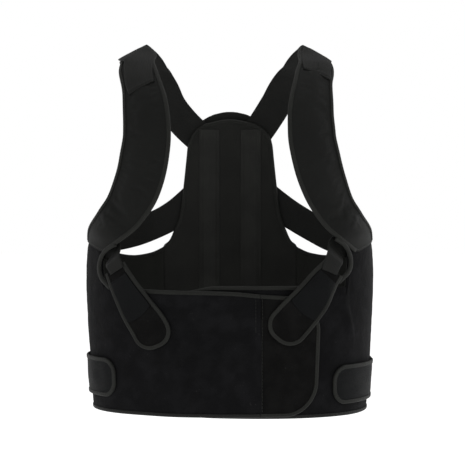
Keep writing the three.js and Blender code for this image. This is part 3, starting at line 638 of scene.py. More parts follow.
def inward(path: Array) -> Array:
    """The directions to the right of an open line, at each of its points."""
    step = np.gradient(path, axis=0)
    return unit(np.stack([step[:, 1], -step[:, 0]], 1))


def mirrored(half: Array) -> Array:
    """An outline from its left half: the half, and then its mirror image run backwards."""
    return np.concatenate([half, (half * [-1, 1])[::-1]])


def filled(path: Array, rim: float) -> tuple[Array, Array, Array]:
    """Grids the cloth inside an outline whose second half runs back beside its first.

    Args:
        path: The outline, as (across, along).
        rim: How far in the cloth's rim is round.

    Returns:
        The places across and along, and the distance of each from the outline.
    """
    half = len(path) // 2
    left, right = path[:half], path[::-1][:half]
    widths = np.linalg.norm(right - left, axis=1)
    widest = rounded_steps(float(widths.max()), rim, CLOTH_PITCH)
    near = np.minimum(rim, widths / 3)
    marks = np.array([0, rim, widest[-1] - rim, widest[-1]])
    steps = np.array([np.interp(widest, marks, [0, n, w - n, w]) for n, w in zip(near, widths)])
    share = (steps / np.maximum(widths, TINY)[:, None])[..., None]
    grid = left[:, None] * (1 - share) + right[:, None] * share
    edge = spaced(np.concatenate([path, path[:1]]), SEAM_PITCH)
    flat = grid.reshape(-1, 2)
    distance = np.array([np.sqrt(((edge - spot) ** 2).sum(1).min()) for spot in flat])
    return grid[..., 0], grid[..., 1], distance.reshape(grid.shape[:2])


def round_ended(route: Route, width: float, start: float, end: float, corner: float) -> Array:
    """The outline of a piece along a route from its start to an end with two round corners.

    Args:
        route: The route.
        width: The full width.
        start: Where the piece starts.
        end: Where it ends.
        corner: The radius of its corners.

    Returns:
        The left half of the outline and then the right half, run backwards.
    """
    tip, fewest = 3.0, 6
    end_half = float(width * route.at(end, "share") / 2)
    radius = min(corner, end_half - tip)
    straight = np.linspace(start, end - radius, max(2, math.ceil((end - radius - start) / CLOTH_PITCH)))
    sides = np.stack([-width * route.at(straight, "share") / 2, straight], 1)
    corner_count = max(fewest, math.ceil(radius * math.pi / 2 / CLOTH_PITCH))
    angle = np.linspace(0, math.pi / 2, corner_count)[1:]
    arc = np.stack([radius - end_half - radius * np.cos(angle), end - radius + radius * np.sin(angle)], 1)
    return mirrored(np.concatenate([sides, arc]))


def active(obj: bpy.types.Object) -> None:
    """Makes an object the only one that is selected."""
    bpy.ops.object.select_all(action="DESELECT")
    bpy.context.view_layer.objects.active = obj
    obj.select_set(True)


def mesh_piece(
    name: str, points: Array, faces: Iterable[Iterable[int]], cloth: Array, lining: Array | None = None
) -> bpy.types.Object:
    """Makes a mesh whose faces point outwards.

    Args:
        name: The piece's name.
        points: Its points in millimetres over the hem.
        faces: Its faces.
        cloth: Each point's place in the flat cloth, in millimetres.
        lining: 1 for each point of the inner face.

    Returns:
        The new object.
    """
    hang = np.array([0.0, 0.0, UNDERARM + RISE])
    data = bpy.data.meshes.new(name)
    data.from_pydata(((points - hang) * MM).tolist(), [], [tuple(face) for face in faces])
    flat = data.attributes.new("cloth", "FLOAT_VECTOR", "POINT")
    inside = np.zeros((len(cloth), 1)) if lining is None else lining[:, None]
    padded = np.concatenate([cloth * MM, inside], 1).astype(np.float32)
    flat.data.foreach_set("vector", padded.ravel())
    obj = bpy.data.objects.new(name, data)
    bpy.context.scene.collection.objects.link(obj)
    active(obj)
    bpy.ops.object.mode_set(mode="EDIT")
    bpy.ops.mesh.select_all(action="SELECT")
    bpy.ops.mesh.normals_make_consistent(inside=False)
    bpy.ops.object.mode_set(mode="OBJECT")
    bpy.ops.object.shade_smooth()
    return obj


def quilt(
    name: str, surface: Surface, across: Array, along: Array, under: Array, over: Array
) -> bpy.types.Object:
    """Makes a closed piece of cloth whose two faces meet at its border.

    Args:
        name: The piece's name.
        surface: Where the piece lies.
        across: Places across the piece, gridded in rows and columns.
        along: Places along it, on the same grid.
        under: Lifts of its under face.
        over: Lifts of its over face.

    Returns:
        The new object.
    """
    rows, columns = across.shape
    turn, level, seat = surface.spot(across, along)
    base, out = SKIN.point(surface.side, turn, level), SKIN.outward(surface.side, turn, level)
    border = np.ones((rows, columns), bool)
    border[1:-1, 1:-1] = False
    middle = (under + over) / 2
    high, low = np.where(border, middle, over), np.where(border, middle, under)
    top = base + out * (seat + high)[..., None]
    bottom = base + out * (seat + low)[..., None]
    number = np.arange(rows * columns).reshape(rows, columns)
    lower = number.copy()
    lower[~border] = rows * columns + np.arange((~border).sum())
    flat = np.stack([across, along], -1)
    points = np.concatenate([top.reshape(-1, 3), bottom[~border]])
    cloth = np.concatenate([flat.reshape(-1, 2), flat[~border]])
    faces = []
    for n, step in ((number, 1), (lower, -1)):
        quads = np.stack([n[:-1, :-1], n[:-1, 1:], n[1:, 1:], n[1:, :-1]], -1).reshape(-1, 4)
        faces.extend(quads[:, ::step].tolist())
    lining = (np.arange(len(points)) >= rows * columns).astype(float)
    return mesh_piece(name, points, faces, cloth, lining)


def tape(
    name: str, surface: Surface, line: Array, towards: Array, thickness: float, low: float = 0.0,
    pressed: Array | float = 1.0,
) -> bpy.types.Object:
    """Makes the tape that is folded over an edge and sewn down, a little puckered by its stitches.

    Args:
        name: The piece's name.
        surface: Where it lies.
        line: The edge, in the surface's own measures.
        towards: The step of a millimetre into the cloth, at each point of the edge.
        thickness: The thickness of the cloth that it binds.
        low: The lift of its under side.
        pressed: The share of its thickness that is left along the edge.

    Returns:
        The new object.
    """
    full = thickness + 2 * PROUD
    radius = full / 2
    fold_points, waviness, swelling = 11, 0.14, 0.1
    lips = np.array([(0, PROUD), (0.15, 0.12), (0.55, 0), (1.15, 0.14), (1.75, 0)])
    upper = np.stack([BINDING - lips[:, 0], full - lips[:, 1]], 1)
    lower = np.stack([BINDING - lips[:, 0], lips[:, 1]], 1)[::-1]
    arc = np.linspace(math.pi / 2, 3 * math.pi / 2, fold_points)
    fold = np.stack([radius + radius * np.cos(arc), radius + radius * np.sin(arc)], 1)
    profile = np.concatenate([upper, fold, lower])
    stride = lengths(surface.points(line[:, 0], line[:, 1], low))
    phase = math.tau * stride / STITCH_PITCH
    pucker = waviness * np.sin(phase)[:, None]
    inset = profile[None, :, 0] + pucker * (profile[None, :, 0] / BINDING) ** 2
    swell = swelling * np.cos(phase)[:, None] * (profile[None, :, 1] / radius - 1)
    place = line[:, None, :] + towards[:, None, :] * inset[..., None]
    rise = (profile[None, :, 1] + swell) * np.broadcast_to(pressed, len(line))[:, None]
    rings = surface.points(place[..., 0], place[..., 1], low + rise)
    girth = lengths(profile)
    cloth = np.stack(np.broadcast_arrays(girth[None, :], stride[:, None]), -1)
    count, around = rings.shape[:2]
    number = np.arange(count * around).reshape(count, around)
    following = np.roll(number, -1, axis=1)
    sides = np.stack([number[:-1], following[:-1], following[1:], number[1:]], -1).reshape(-1, 4)
    faces = sides.tolist() + [number[0][::-1].tolist(), number[-1].tolist()]
    return mesh_piece(name, rings.reshape(-1, 3), faces, cloth.reshape(-1, 2))


def padding(
    path: Array, inset: Array | float, thickness: float, crown: float, ripple: Ripple
) -> tuple[Array, ...]:
    """The grid and the lifts of cloth that runs in under its tape and is crowned between.

    Args:
        path: The outline of the whole piece.
        inset: How far inside it the cloth ends, at each point.
        thickness: The cloth's thickness.
        crown: How much its middle stands over its edges.
        ripple: Unevenness of its over face.

    Returns:
        The places across and along, the lifts of the under and the over face, and the distance
        from the edge.
    """
    inner = path + inward(path) * np.broadcast_to(inset, len(path))[:, None]
    grid_rim = 2.0
    across, along, distance = filled(inner, grid_rim)
    pressed, free, crowned = 0.86, 16.0, 1.6
    rim, rim_least, below = 1.6, 0.35, 0.4
    loose = ease(distance, 0, free)
    full = rim_least + (1 - rim_least) * rim_share(distance, rim)
    rise = (pressed + (1 - pressed) * loose) * full
    uneven = ripple.read(across, along) * loose
    over = PROUD + thickness * rise + crown * ease(distance, 0, crowned * free) + uneven
    under = PROUD + thickness * (1 - rise) * below
    return across, along, under, over, distance


def swelled(piece: bpy.types.Object, loose: Array, pressure: float, cap: float) -> None:
    """Lets the padding push the cloth out between its seams, as a cloth simulation.

    Args:
        piece: The piece.
        loose: How free each point is, from 0 where it is sewn down.
        pressure: The padding's pressure.
        cap: How far a point may move, in millimetres.
    """
    data = piece.data
    held = piece.vertex_groups.new(name="sewn")
    for number, share in enumerate(1 - loose):
        held.add([number], float(share), "REPLACE")
    before = np.empty(len(data.vertices) * 3)
    data.vertices.foreach_get("co", before)
    cloth = piece.modifiers.new("padding", "CLOTH")
    settings = cloth.settings
    settings.quality = 5
    settings.mass = 0.15
    settings.tension_stiffness = settings.compression_stiffness = 12
    settings.bending_stiffness = 0.3
    settings.shrink_min = -0.015
    settings.use_pressure = True
    settings.uniform_pressure_force = pressure
    settings.effector_weights.gravity = 0
    settings.vertex_group_mass = held.name
    last = 16
    for number in range(1, last + 1):
        bpy.context.scene.frame_set(number)
    shaped = piece.evaluated_get(bpy.context.evaluated_depsgraph_get())
    after = np.empty_like(before)
    shaped.data.vertices.foreach_get("co", after)
    move = (after - before).reshape(-1, 3)
    size = np.linalg.norm(move, axis=1, keepdims=True)
    most = cap * MM * loose[:, None]
    log.info("%s: padding moved %.1f mm at most", piece.name, float(size.max()) / MM)
    move *= np.minimum(1, most / np.maximum(size, TINY))
    piece.modifiers.remove(cloth)
    piece.vertex_groups.remove(held)
    bpy.context.scene.frame_set(1)
    data.vertices.foreach_set("co", before + move.ravel())
    data.update()


class Sketch:
    """Adds nodes to a tree and joins them up."""

    def __init__(self, tree: bpy.types.NodeTree) -> None:
        """Keeps the tree."""
        self.tree = tree

    def feed(self, socket: bpy.types.NodeSocket, value: object) -> None:
        """Links a socket, or sets its value."""
        if isinstance(value, bpy.types.NodeSocket):
            self.tree.links.new(value, socket)
        elif value is not None:
            socket.default_value = value

    def node(self, kind: str, inputs: dict[str, object] | None = None, **settings: object) -> bpy.types.Node:
        """Adds a node with its settings and inputs."""
        made = self.tree.nodes.new(kind)
        for key, value in settings.items():
            setattr(made, key, value)
        for key, value in (inputs or {}).items():
            self.feed(made.inputs[key], value)
        return made

    def group(self, tree: bpy.types.NodeTree, inputs: dict[str, object]) -> bpy.types.Node:
        """Places a node group with its inputs."""
        return self.node("ShaderNodeGroup", node_tree=tree, inputs=inputs)

    def maths(self, operation: str, *values: object) -> bpy.types.NodeSocket:
        """Adds a Math node."""
        made = self.tree.nodes.new("ShaderNodeMath")
        made.operation = operation
        for socket, value in zip(made.inputs, values):
            self.feed(socket, value)
        return made.outputs[0]

    def noise(self, place: bpy.types.NodeSocket, scale: object, detail: float) -> bpy.types.NodeSocket:
        """Adds a Noise Texture node."""
        inputs = {"Vector": place, "Scale": scale, "Detail": detail}
        return self.node("ShaderNodeTexNoise", inputs).outputs["Fac"]

    def mixed(self, share: object, first: object, second: object) -> bpy.types.NodeSocket:
        """Mixes two colours."""
        made = self.node("ShaderNodeMix", data_type="RGBA")
        factor, colour_a, colour_b, colour_out = 0, 6, 7, 2
        for number, value in ((factor, share), (colour_a, first), (colour_b, second)):
            self.feed(made.inputs[number], value)
        return made.outputs[colour_out]

    def spread(self, value: object, low: object, high: object) -> bpy.types.NodeSocket:
        """Maps low to 0 and high to 1."""
        inputs = {"Value": value, "From Min": low, "From Max": high}
        return self.node("ShaderNodeMapRange", inputs, interpolation_type="SMOOTHSTEP").outputs["Result"]


def node_group(
    name: str, inputs: dict[str, str], outputs: dict[str, str]
) -> tuple[Sketch, bpy.types.Node, bpy.types.Node]:
    """Starts a shader node group.

    Args:
        name: Its name.
        inputs: The kinds of its inputs by name.
        outputs: The kinds of its outputs by name.

    Returns:
        The sketch of its tree, and its input and output nodes.
    """
    tree = bpy.data.node_groups.new(name, "ShaderNodeTree")
    for sockets, way in ((inputs, "INPUT"), (outputs, "OUTPUT")):
        for key, kind in sockets.items():
            tree.interface.new_socket(key, in_out=way, socket_type=f"NodeSocket{kind}")
    return Sketch(tree), tree.nodes.new("NodeGroupInput"), tree.nodes.new("NodeGroupOutput")


def tone_group() -> bpy.types.NodeTree:
    """Builds the effect of uneven dye: cloudy tone with a little lint."""
    fine_scale, lint_scale, cloud_weight = 900.0, 420.0, 0.65
    lint_colour = (0.11, 0.11, 0.105, 1)
    inputs = {"Place": "Vector", "Dark": "Color", "Light": "Color", "Cloud": "Float", "Lint": "Float"}
    sketch, given, result = node_group("uneven_tone", inputs, {"Colour": "Color", "Cloudiness": "Float"})
    place = given.outputs["Place"]
    cloud = sketch.spread(sketch.noise(place, given.outputs["Cloud"], 4.0), 0.36, 0.66)
    fine = sketch.spread(sketch.noise(place, fine_scale, 2.0), 0.3, 0.75)
    faint = sketch.maths("MULTIPLY", fine, 1 - cloud_weight)
    share = sketch.maths("MULTIPLY_ADD", cloud, cloud_weight, faint)
    colour = sketch.mixed(share, given.outputs["Dark"], given.outputs["Light"])
    specks = sketch.spread(sketch.noise(place, lint_scale, 1.0), 0.74, 0.8)
    lint = sketch.maths("MULTIPLY", specks, given.outputs["Lint"])
    speckled = sketch.mixed(lint, colour, lint_colour)
    sketch.feed(result.inputs["Colour"], speckled)
    sketch.feed(result.inputs["Cloudiness"], share)
    return sketch.tree


def thread_group() -> bpy.types.NodeTree:
    """Builds the relief of threads that run across and along the flat cloth."""
    inputs = {"Cloth": "Vector", "Across": "Float", "Along": "Float", "Shift": "Float", "Ribs": "Float"}
    sketch, given, result = node_group("thread_relief", inputs, {"Height": "Float"})
    split = sketch.node("ShaderNodeSeparateXYZ", {"Vector": given.outputs["Cloth"]})
    column = sketch.maths("MULTIPLY", split.outputs["X"], given.outputs["Across"])
    row = sketch.maths("MULTIPLY", split.outputs["Y"], given.outputs["Along"])
    offset = sketch.maths("MULTIPLY", sketch.maths("FLOOR", column), given.outputs["Shift"])
    rib = sketch.maths("ABSOLUTE", sketch.maths("SINE", sketch.maths("MULTIPLY", column, math.pi)))
    turned = sketch.maths("MULTIPLY", sketch.maths("ADD", row, offset), math.pi)
    loop = sketch.maths("ABSOLUTE", sketch.maths("SINE", turned))
    ribs = sketch.maths("MULTIPLY", rib, given.outputs["Ribs"])
    rest = sketch.maths("MULTIPLY", loop, sketch.maths("SUBTRACT", 1.0, given.outputs["Ribs"]))
    sketch.feed(result.inputs["Height"], sketch.maths("ADD", ribs, rest))
    return sketch.tree


def pile_group() -> bpy.types.NodeTree:
    """Builds the relief and shade of brushed loops."""
    curl_depth, nap_depth = 0.5, 0.8
    inputs = {"Place": "Vector", "Fibre": "Float", "Nap": "Float"}
    sketch, given, result = node_group("brushed_pile", inputs, {"Height": "Float", "Shade": "Float"})
    place = given.outputs["Place"]
    fibre = sketch.noise(place, given.outputs["Fibre"], 3.0)
    nap = sketch.spread(sketch.noise(place, given.outputs["Nap"], 5.0), 0.38, 0.64)
    curls = sketch.node("ShaderNodeTexVoronoi", {"Vector": place, "Scale": given.outputs["Fibre"]})
    height = sketch.maths("MULTIPLY_ADD", curls.outputs["Distance"], -curl_depth, fibre)
    sketch.feed(result.inputs["Height"], sketch.maths("MULTIPLY_ADD", nap, nap_depth, height))
    sketch.feed(result.inputs["Shade"], nap)
    return sketch.tree


# Shares and strengths that all finishes have in common
SHEEN_ROUGHNESS = 0.4
BUMP_STRENGTH = 0.7
# Painted shade between the threads and in the pile: how much of the colour it takes, and its tone as a share
# of the dark colour
GROOVE_SHADE_SHARE = 0.45
GROOVE_SHADE_TONE = 0.35
ROUGHNESS_SPREAD = 0.12


class Weave(Enum):
    """How the surface of a cloth is made."""

    THREADS = "threads"
    PILE = "pile"


@dataclass(frozen=True)
class Finish:
    """How a material looks."""

    name: str
    slot: str
    dark: tuple[float, float, float]
    light: tuple[float, float, float]
    roughness: float
    specular: float
    sheen: float
    weave: Weave
    across: float
    along: float
    shift: float = 0.0
    ribs: float = 0.5
    cloud: float = 28.0
    lint: float = 0.3
    relief: float = 0.25
    lining: tuple[float, float, float] | None = None

    def material(self, groups: dict[str, bpy.types.NodeTree]) -> bpy.types.Material:
        """Makes the material.

        Args:
            groups: The shared effects by name.

        Returns:
            The new material.
        """
        made = bpy.data.materials.new(self.name)
        made.use_nodes = True
        sketch = Sketch(made.node_tree)
        shader = made.node_tree.nodes["Principled BSDF"]
        shader.inputs["Specular IOR Level"].default_value = self.specular
        shader.inputs["Sheen Weight"].default_value = self.sheen
        shader.inputs["Sheen Roughness"].default_value = SHEEN_ROUGHNESS
        place = sketch.node("ShaderNodeTexCoord").outputs["Object"]
        colours = {"Dark": (*self.dark, 1), "Light": (*self.light, 1)}
        given = {"Place": place, **colours, "Cloud": self.cloud, "Lint": self.lint}
        tone = sketch.group(groups["tone"], given)
        cloth = sketch.node("ShaderNodeAttribute", attribute_name="cloth").outputs["Vector"]
        across, along = 1 / MM / self.across, 1 / MM / self.along
        if self.weave is Weave.THREADS:
            threads = {"Across": across, "Along": along, "Shift": self.shift, "Ribs": self.ribs}
            relief = sketch.group(groups["threads"], {"Cloth": cloth, **threads})
            shade = relief.outputs["Height"]
        else:
            relief = sketch.group(groups["pile"], {"Place": place, "Fibre": across, "Nap": along})
            shade = relief.outputs["Shade"]
        # Painted shade: where the relief's shade output is low, between the threads and across the pile's
        # nap, the colour darkens towards the groove tone
        dip = sketch.maths("MULTIPLY_ADD", shade, GROOVE_SHADE_SHARE, 1 - GROOVE_SHADE_SHARE)
        groove = (*(GROOVE_SHADE_TONE * part for part in self.dark), 1)
        shaded_colour = sketch.mixed(dip, groove, tone.outputs["Colour"])
        if self.lining:
            split = sketch.node("ShaderNodeSeparateXYZ", {"Vector": cloth})
            shaded_colour = sketch.mixed(split.outputs["Z"], shaded_colour, (*self.lining, 1))
        sketch.feed(shader.inputs["Base Color"], shaded_colour)
        smoothest = self.roughness - ROUGHNESS_SPREAD / 2
        rough = sketch.maths("MULTIPLY_ADD", tone.outputs["Cloudiness"], ROUGHNESS_SPREAD, smoothest)
        sketch.feed(shader.inputs["Roughness"], rough)
        bump = sketch.node("ShaderNodeBump", {"Strength": BUMP_STRENGTH, "Distance": self.relief * MM})
        sketch.feed(bump.inputs["Height"], relief.outputs["Height"])
        sketch.feed(shader.inputs["Normal"], bump.outputs["Normal"])
        return made


LINING = (0.0125, 0.0129, 0.0115)
# The panel, the cover and the pads are one knit: this knit is painted lighter against the shade on the panel,
# and the pads' copy is painted darker as shade on the pads, which the key light falls on
KNIT = Finish(
    "knit", "knit", dark=(0.0088, 0.009, 0.008), light=(0.0147, 0.015, 0.0133), roughness=0.66, specular=0.11,
    sheen=0.015, weave=Weave.THREADS, across=1.3, along=1.1, shift=0.5, ribs=0.55, cloud=22.0, lint=0.1,
    relief=0.2,
)
SHADED_PAD_KNIT = replace(KNIT, name="pad_knit", dark=(0.0037, 0.0039, 0.0034), light=(0.0063, 0.0066, 0.0058))
WEBBING = Finish(
    "webbing", "webbing", dark=(0.0055, 0.0057, 0.0051), light=(0.0092, 0.0095, 0.0085), roughness=0.6,
    specular=0.12, sheen=0.015, weave=Weave.THREADS, across=1.9, along=1.2, ribs=0.6, cloud=30.0, lint=0.1,
    relief=0.3,
)
STAY_WEBBING = replace(
    WEBBING, name="stay_webbing", dark=(0.012, 0.0123, 0.011), light=(0.02, 0.0205, 0.0183)
)
PLUSH = Finish(
    "plush", "plush", dark=(0.0044, 0.0044, 0.0048), light=(0.0071, 0.0071, 0.0078), roughness=0.92,
    specular=0.06, sheen=0.03, weave=Weave.PILE, across=0.9, along=17.0, cloud=32.0, lint=0.1, relief=0.55,
    lining=LINING,
)
# The tabs' plush has a less blue tint of its own, and is also painted darker as shade against the lamps on
# the right
SHADED_TAB_PLUSH = replace(
    PLUSH, name="tab_plush", dark=(0.0036, 0.0035, 0.0034), light=(0.0058, 0.0057, 0.0055), sheen=0.025,
    along=15.0, cloud=34.0, relief=0.5,
)
TAPE = Finish(
    "tape", "binding", dark=(0.0076, 0.008, 0.0067), light=(0.0124, 0.0129, 0.0111), roughness=0.62,
    specular=0.14, sheen=0.02, weave=Weave.THREADS, across=2.4, along=0.9, ribs=0.3, cloud=40.0, lint=0.1,
    relief=0.2,
)
DARK_TAPE = replace(TAPE, name="dark_tape", dark=(0.0056, 0.0058, 0.0052), light=(0.009, 0.0092, 0.0083))
HOOKS = Finish(
    "hooks", "hook", dark=(0.0017, 0.002, 0.0022), light=(0.0038, 0.0042, 0.0046), roughness=0.62,
    specular=0.07, sheen=0.0, weave=Weave.THREADS, across=1.5, along=1.5, shift=0.5, ribs=0.5, cloud=60.0,
    lint=0.05, relief=0.5,
)
THREAD = Finish(
    "thread", "binding", dark=(0.0135, 0.014, 0.012), light=(0.021, 0.0215, 0.0185), roughness=0.5,
    specular=0.2, sheen=0.02, weave=Weave.THREADS, across=0.4, along=0.4, shift=0.5, ribs=0.5, cloud=60.0,
    lint=0.0, relief=0.1,
)
LIGHT_THREAD = replace(THREAD, name="light_thread", dark=(0.03, 0.031, 0.027), light=(0.045, 0.046, 0.041))
# Pale thread: its own colour on the bartack, and a painted highlight on the rows across the stay channels'
# folded tops
PALE_THREAD_AND_HIGHLIGHT = replace(
    THREAD, name="pale_thread_and_highlight", dark=(0.05, 0.051, 0.047), light=(0.09, 0.09, 0.086), specular=0.3
)


class Workshop:
    """Dresses the meshes and hands them over as pieces."""

    def __init__(self) -> None:
        """Makes the shared effects and the materials."""
        groups = {"tone": tone_group(), "threads": thread_group(), "pile": pile_group()}
        finishes = (
            KNIT, SHADED_PAD_KNIT, WEBBING, STAY_WEBBING, PLUSH, SHADED_TAB_PLUSH, TAPE, DARK_TAPE, HOOKS, THREAD,
            LIGHT_THREAD, PALE_THREAD_AND_HIGHLIGHT,
        )
        self.materials = {finish: finish.material(groups) for finish in finishes}
        self.count = 0

    def dress(self, piece: bpy.types.Object, finish: Finish, *nodes: str) -> bpy.types.Object:
        """Gives a piece its finish and its body, and hides the nodes of the part that it stands for.

        Args:
            piece: The piece.
            finish: Its finish.
            *nodes: The nodes of the part that it replaces.

        Returns:
            The piece.
        """
        piece.data.materials.append(self.materials[finish])
        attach(piece, ROOT)
        if nodes:
            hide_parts(*nodes)
        self.count += 1
        log.info("%s: %d faces, %s", piece.name, len(piece.data.polygons), finish.name)
        return piece

    def sheet(
        self, piece: bpy.types.Object, cut: Cut, held: str, on: list[str], trims: list[bpy.types.Object]
    ) -> None:
        """Does nothing with a sheet of cloth and the size that it was cut to.

        Args:
            piece: The sheet. Not used.
            cut: Its flat size. Not used.
            held: How it is held. Not used.
            on: The names of the pieces that it rests on. Not used.
            trims: The tapes and stitches on it. Not used.
        """


@dataclass
class Seam:
    """A row of stitches on a surface."""

    surface: Surface
    line: Array
    lift: float
    under: bool = False


class Needle:
    """Sews seams: one stitch is modelled once and copied along every seam."""

    def __init__(
        self, length: float = 2.9, width: float = 0.62, height: float = 0.5, bevel: float = 0.16,
        dip: float = 0.28,
    ) -> None:
        """Models the stitch, a short bar of thread whose ends dip into the cloth.

        Args:
            length: Its length.
            width: Its width.
            height: Its height.
            bevel: How far its edges are cut off.
            dip: How deep its ends go down.
        """
        bpy.ops.object.select_all(action="DESELECT")
        bpy.ops.mesh.primitive_cylinder_add(vertices=6, radius=0.5, depth=1.0)
        bar = bpy.context.object
        bpy.ops.object.mode_set(mode="EDIT")
        bpy.ops.mesh.select_all(action="SELECT")
        bpy.ops.transform.resize(value=(height, width, length))
        bpy.ops.mesh.bevel(offset=bevel, segments=1, affect="EDGES")
        bpy.ops.object.mode_set(mode="OBJECT")
        shape = np.array([vertex.co for vertex in bar.data.vertices])
        drop = dip * (2 * shape[:, 2] / length) ** 2
        self.shape = np.stack([shape[:, 2], shape[:, 1], shape[:, 0] - drop], 1)
        self.faces = [list(face.vertices) for face in bar.data.polygons]
        bpy.data.objects.remove(bar)

    def sew(self, name: str, seams: list[Seam]) -> bpy.types.Object:
        """Copies the stitch along seams.

        Args:
            name: The piece's name.
            seams: The seams.

        Returns:
            The new object.
        """
        parts = [self.row(seam) for seam in seams]
        points = np.concatenate(parts)
        count, each = points.shape[:2]
        starts = range(0, count * each, each)
        faces = [[first + corner for corner in face] for first in starts for face in self.faces]
        shift = np.repeat(np.arange(count), each)[:, None] * STITCH_PITCH
        flat = np.tile(self.shape[:, :2], (count, 1)) + shift
        return mesh_piece(name, points.reshape(-1, 3), faces, flat)

    def row(self, seam: Seam) -> Array:
        """The points of each stitch of a seam."""
        line = seam.line
        along = lengths(seam.surface.points(line[:, 0], line[:, 1], seam.lift))
        count = max(1, round(along[-1] / STITCH_PITCH))
        middle = (np.arange(count) + 0.5) * along[-1] / count

        def at(s: Array) -> tuple[Array, Array]:
            """The places across and along at lengths along the seam."""
            return np.interp(s, along, line[:, 0]), np.interp(s, along, line[:, 1])

        start, end = (seam.surface.points(*at(middle + step), seam.lift) for step in (-1.0, 1.0))
        out = seam.surface.normals(*at(middle)) * (-1 if seam.under else 1)
        forward = unit(end - start)
        aside = unit(np.cross(out, forward))
        x, y, z = (self.shape[None, :, k, None] for k in range(3))
        return ((start + end) / 2)[:, None] + x * forward[:, None] + y * aside[:, None] + z * out[:, None]


def tape_seams(
    surface: Surface, line: Array, towards: Array, thickness: float, low: float = 0.0
) -> list[Seam]:
    """The two seams that sew a tape down, on its over and its under side.

    Args:
        surface: Where the tape lies.
        line: Its outer edge.
        towards: The step of a millimetre into the cloth, at each point of the edge.
        thickness: The thickness of the cloth that it binds.
        low: The lift of its under side.

    Returns:
        The two seams.
    """
    from_lip, sunk = 1.15, 0.1
    sewn = line + towards * (BINDING - from_lip)
    top = low + thickness + 2 * PROUD - sunk
    return [Seam(surface, sewn, top), Seam(surface, sewn, low + sunk, True)]


@dataclass
class Bound:
    """A flat piece of cloth that has a tape all round, with the words that its pieces have."""

    cloth: str
    tape: str
    node: str
    binding: str
    finish: Finish
    thickness: float
    crown: float
    ripple: Ripple

    def make(
        self, shop: Workshop, surface: Surface, path: Array
    ) -> tuple[bpy.types.Object, bpy.types.Object, list[Seam]]:
        """Makes the cloth and its tape.

        Args:
            shop: The workshop that dresses them.
            surface: Where they lie.
            path: The outline.

        Returns:
            The cloth, the tape and the tape's seams.
        """
        across, along, under, over, _ = padding(path, TUCK, self.thickness, self.crown, self.ripple)
        cloth = shop.dress(quilt(self.cloth, surface, across, along, under, over), self.finish, self.node)
        edge = spaced(path, TAPE_PITCH)
        towards = inward(edge)
        strip = shop.dress(tape(self.tape, surface, edge, towards, self.thickness), TAPE, self.binding)
        return cloth, strip, tape_seams(surface, edge, towards, self.thickness)


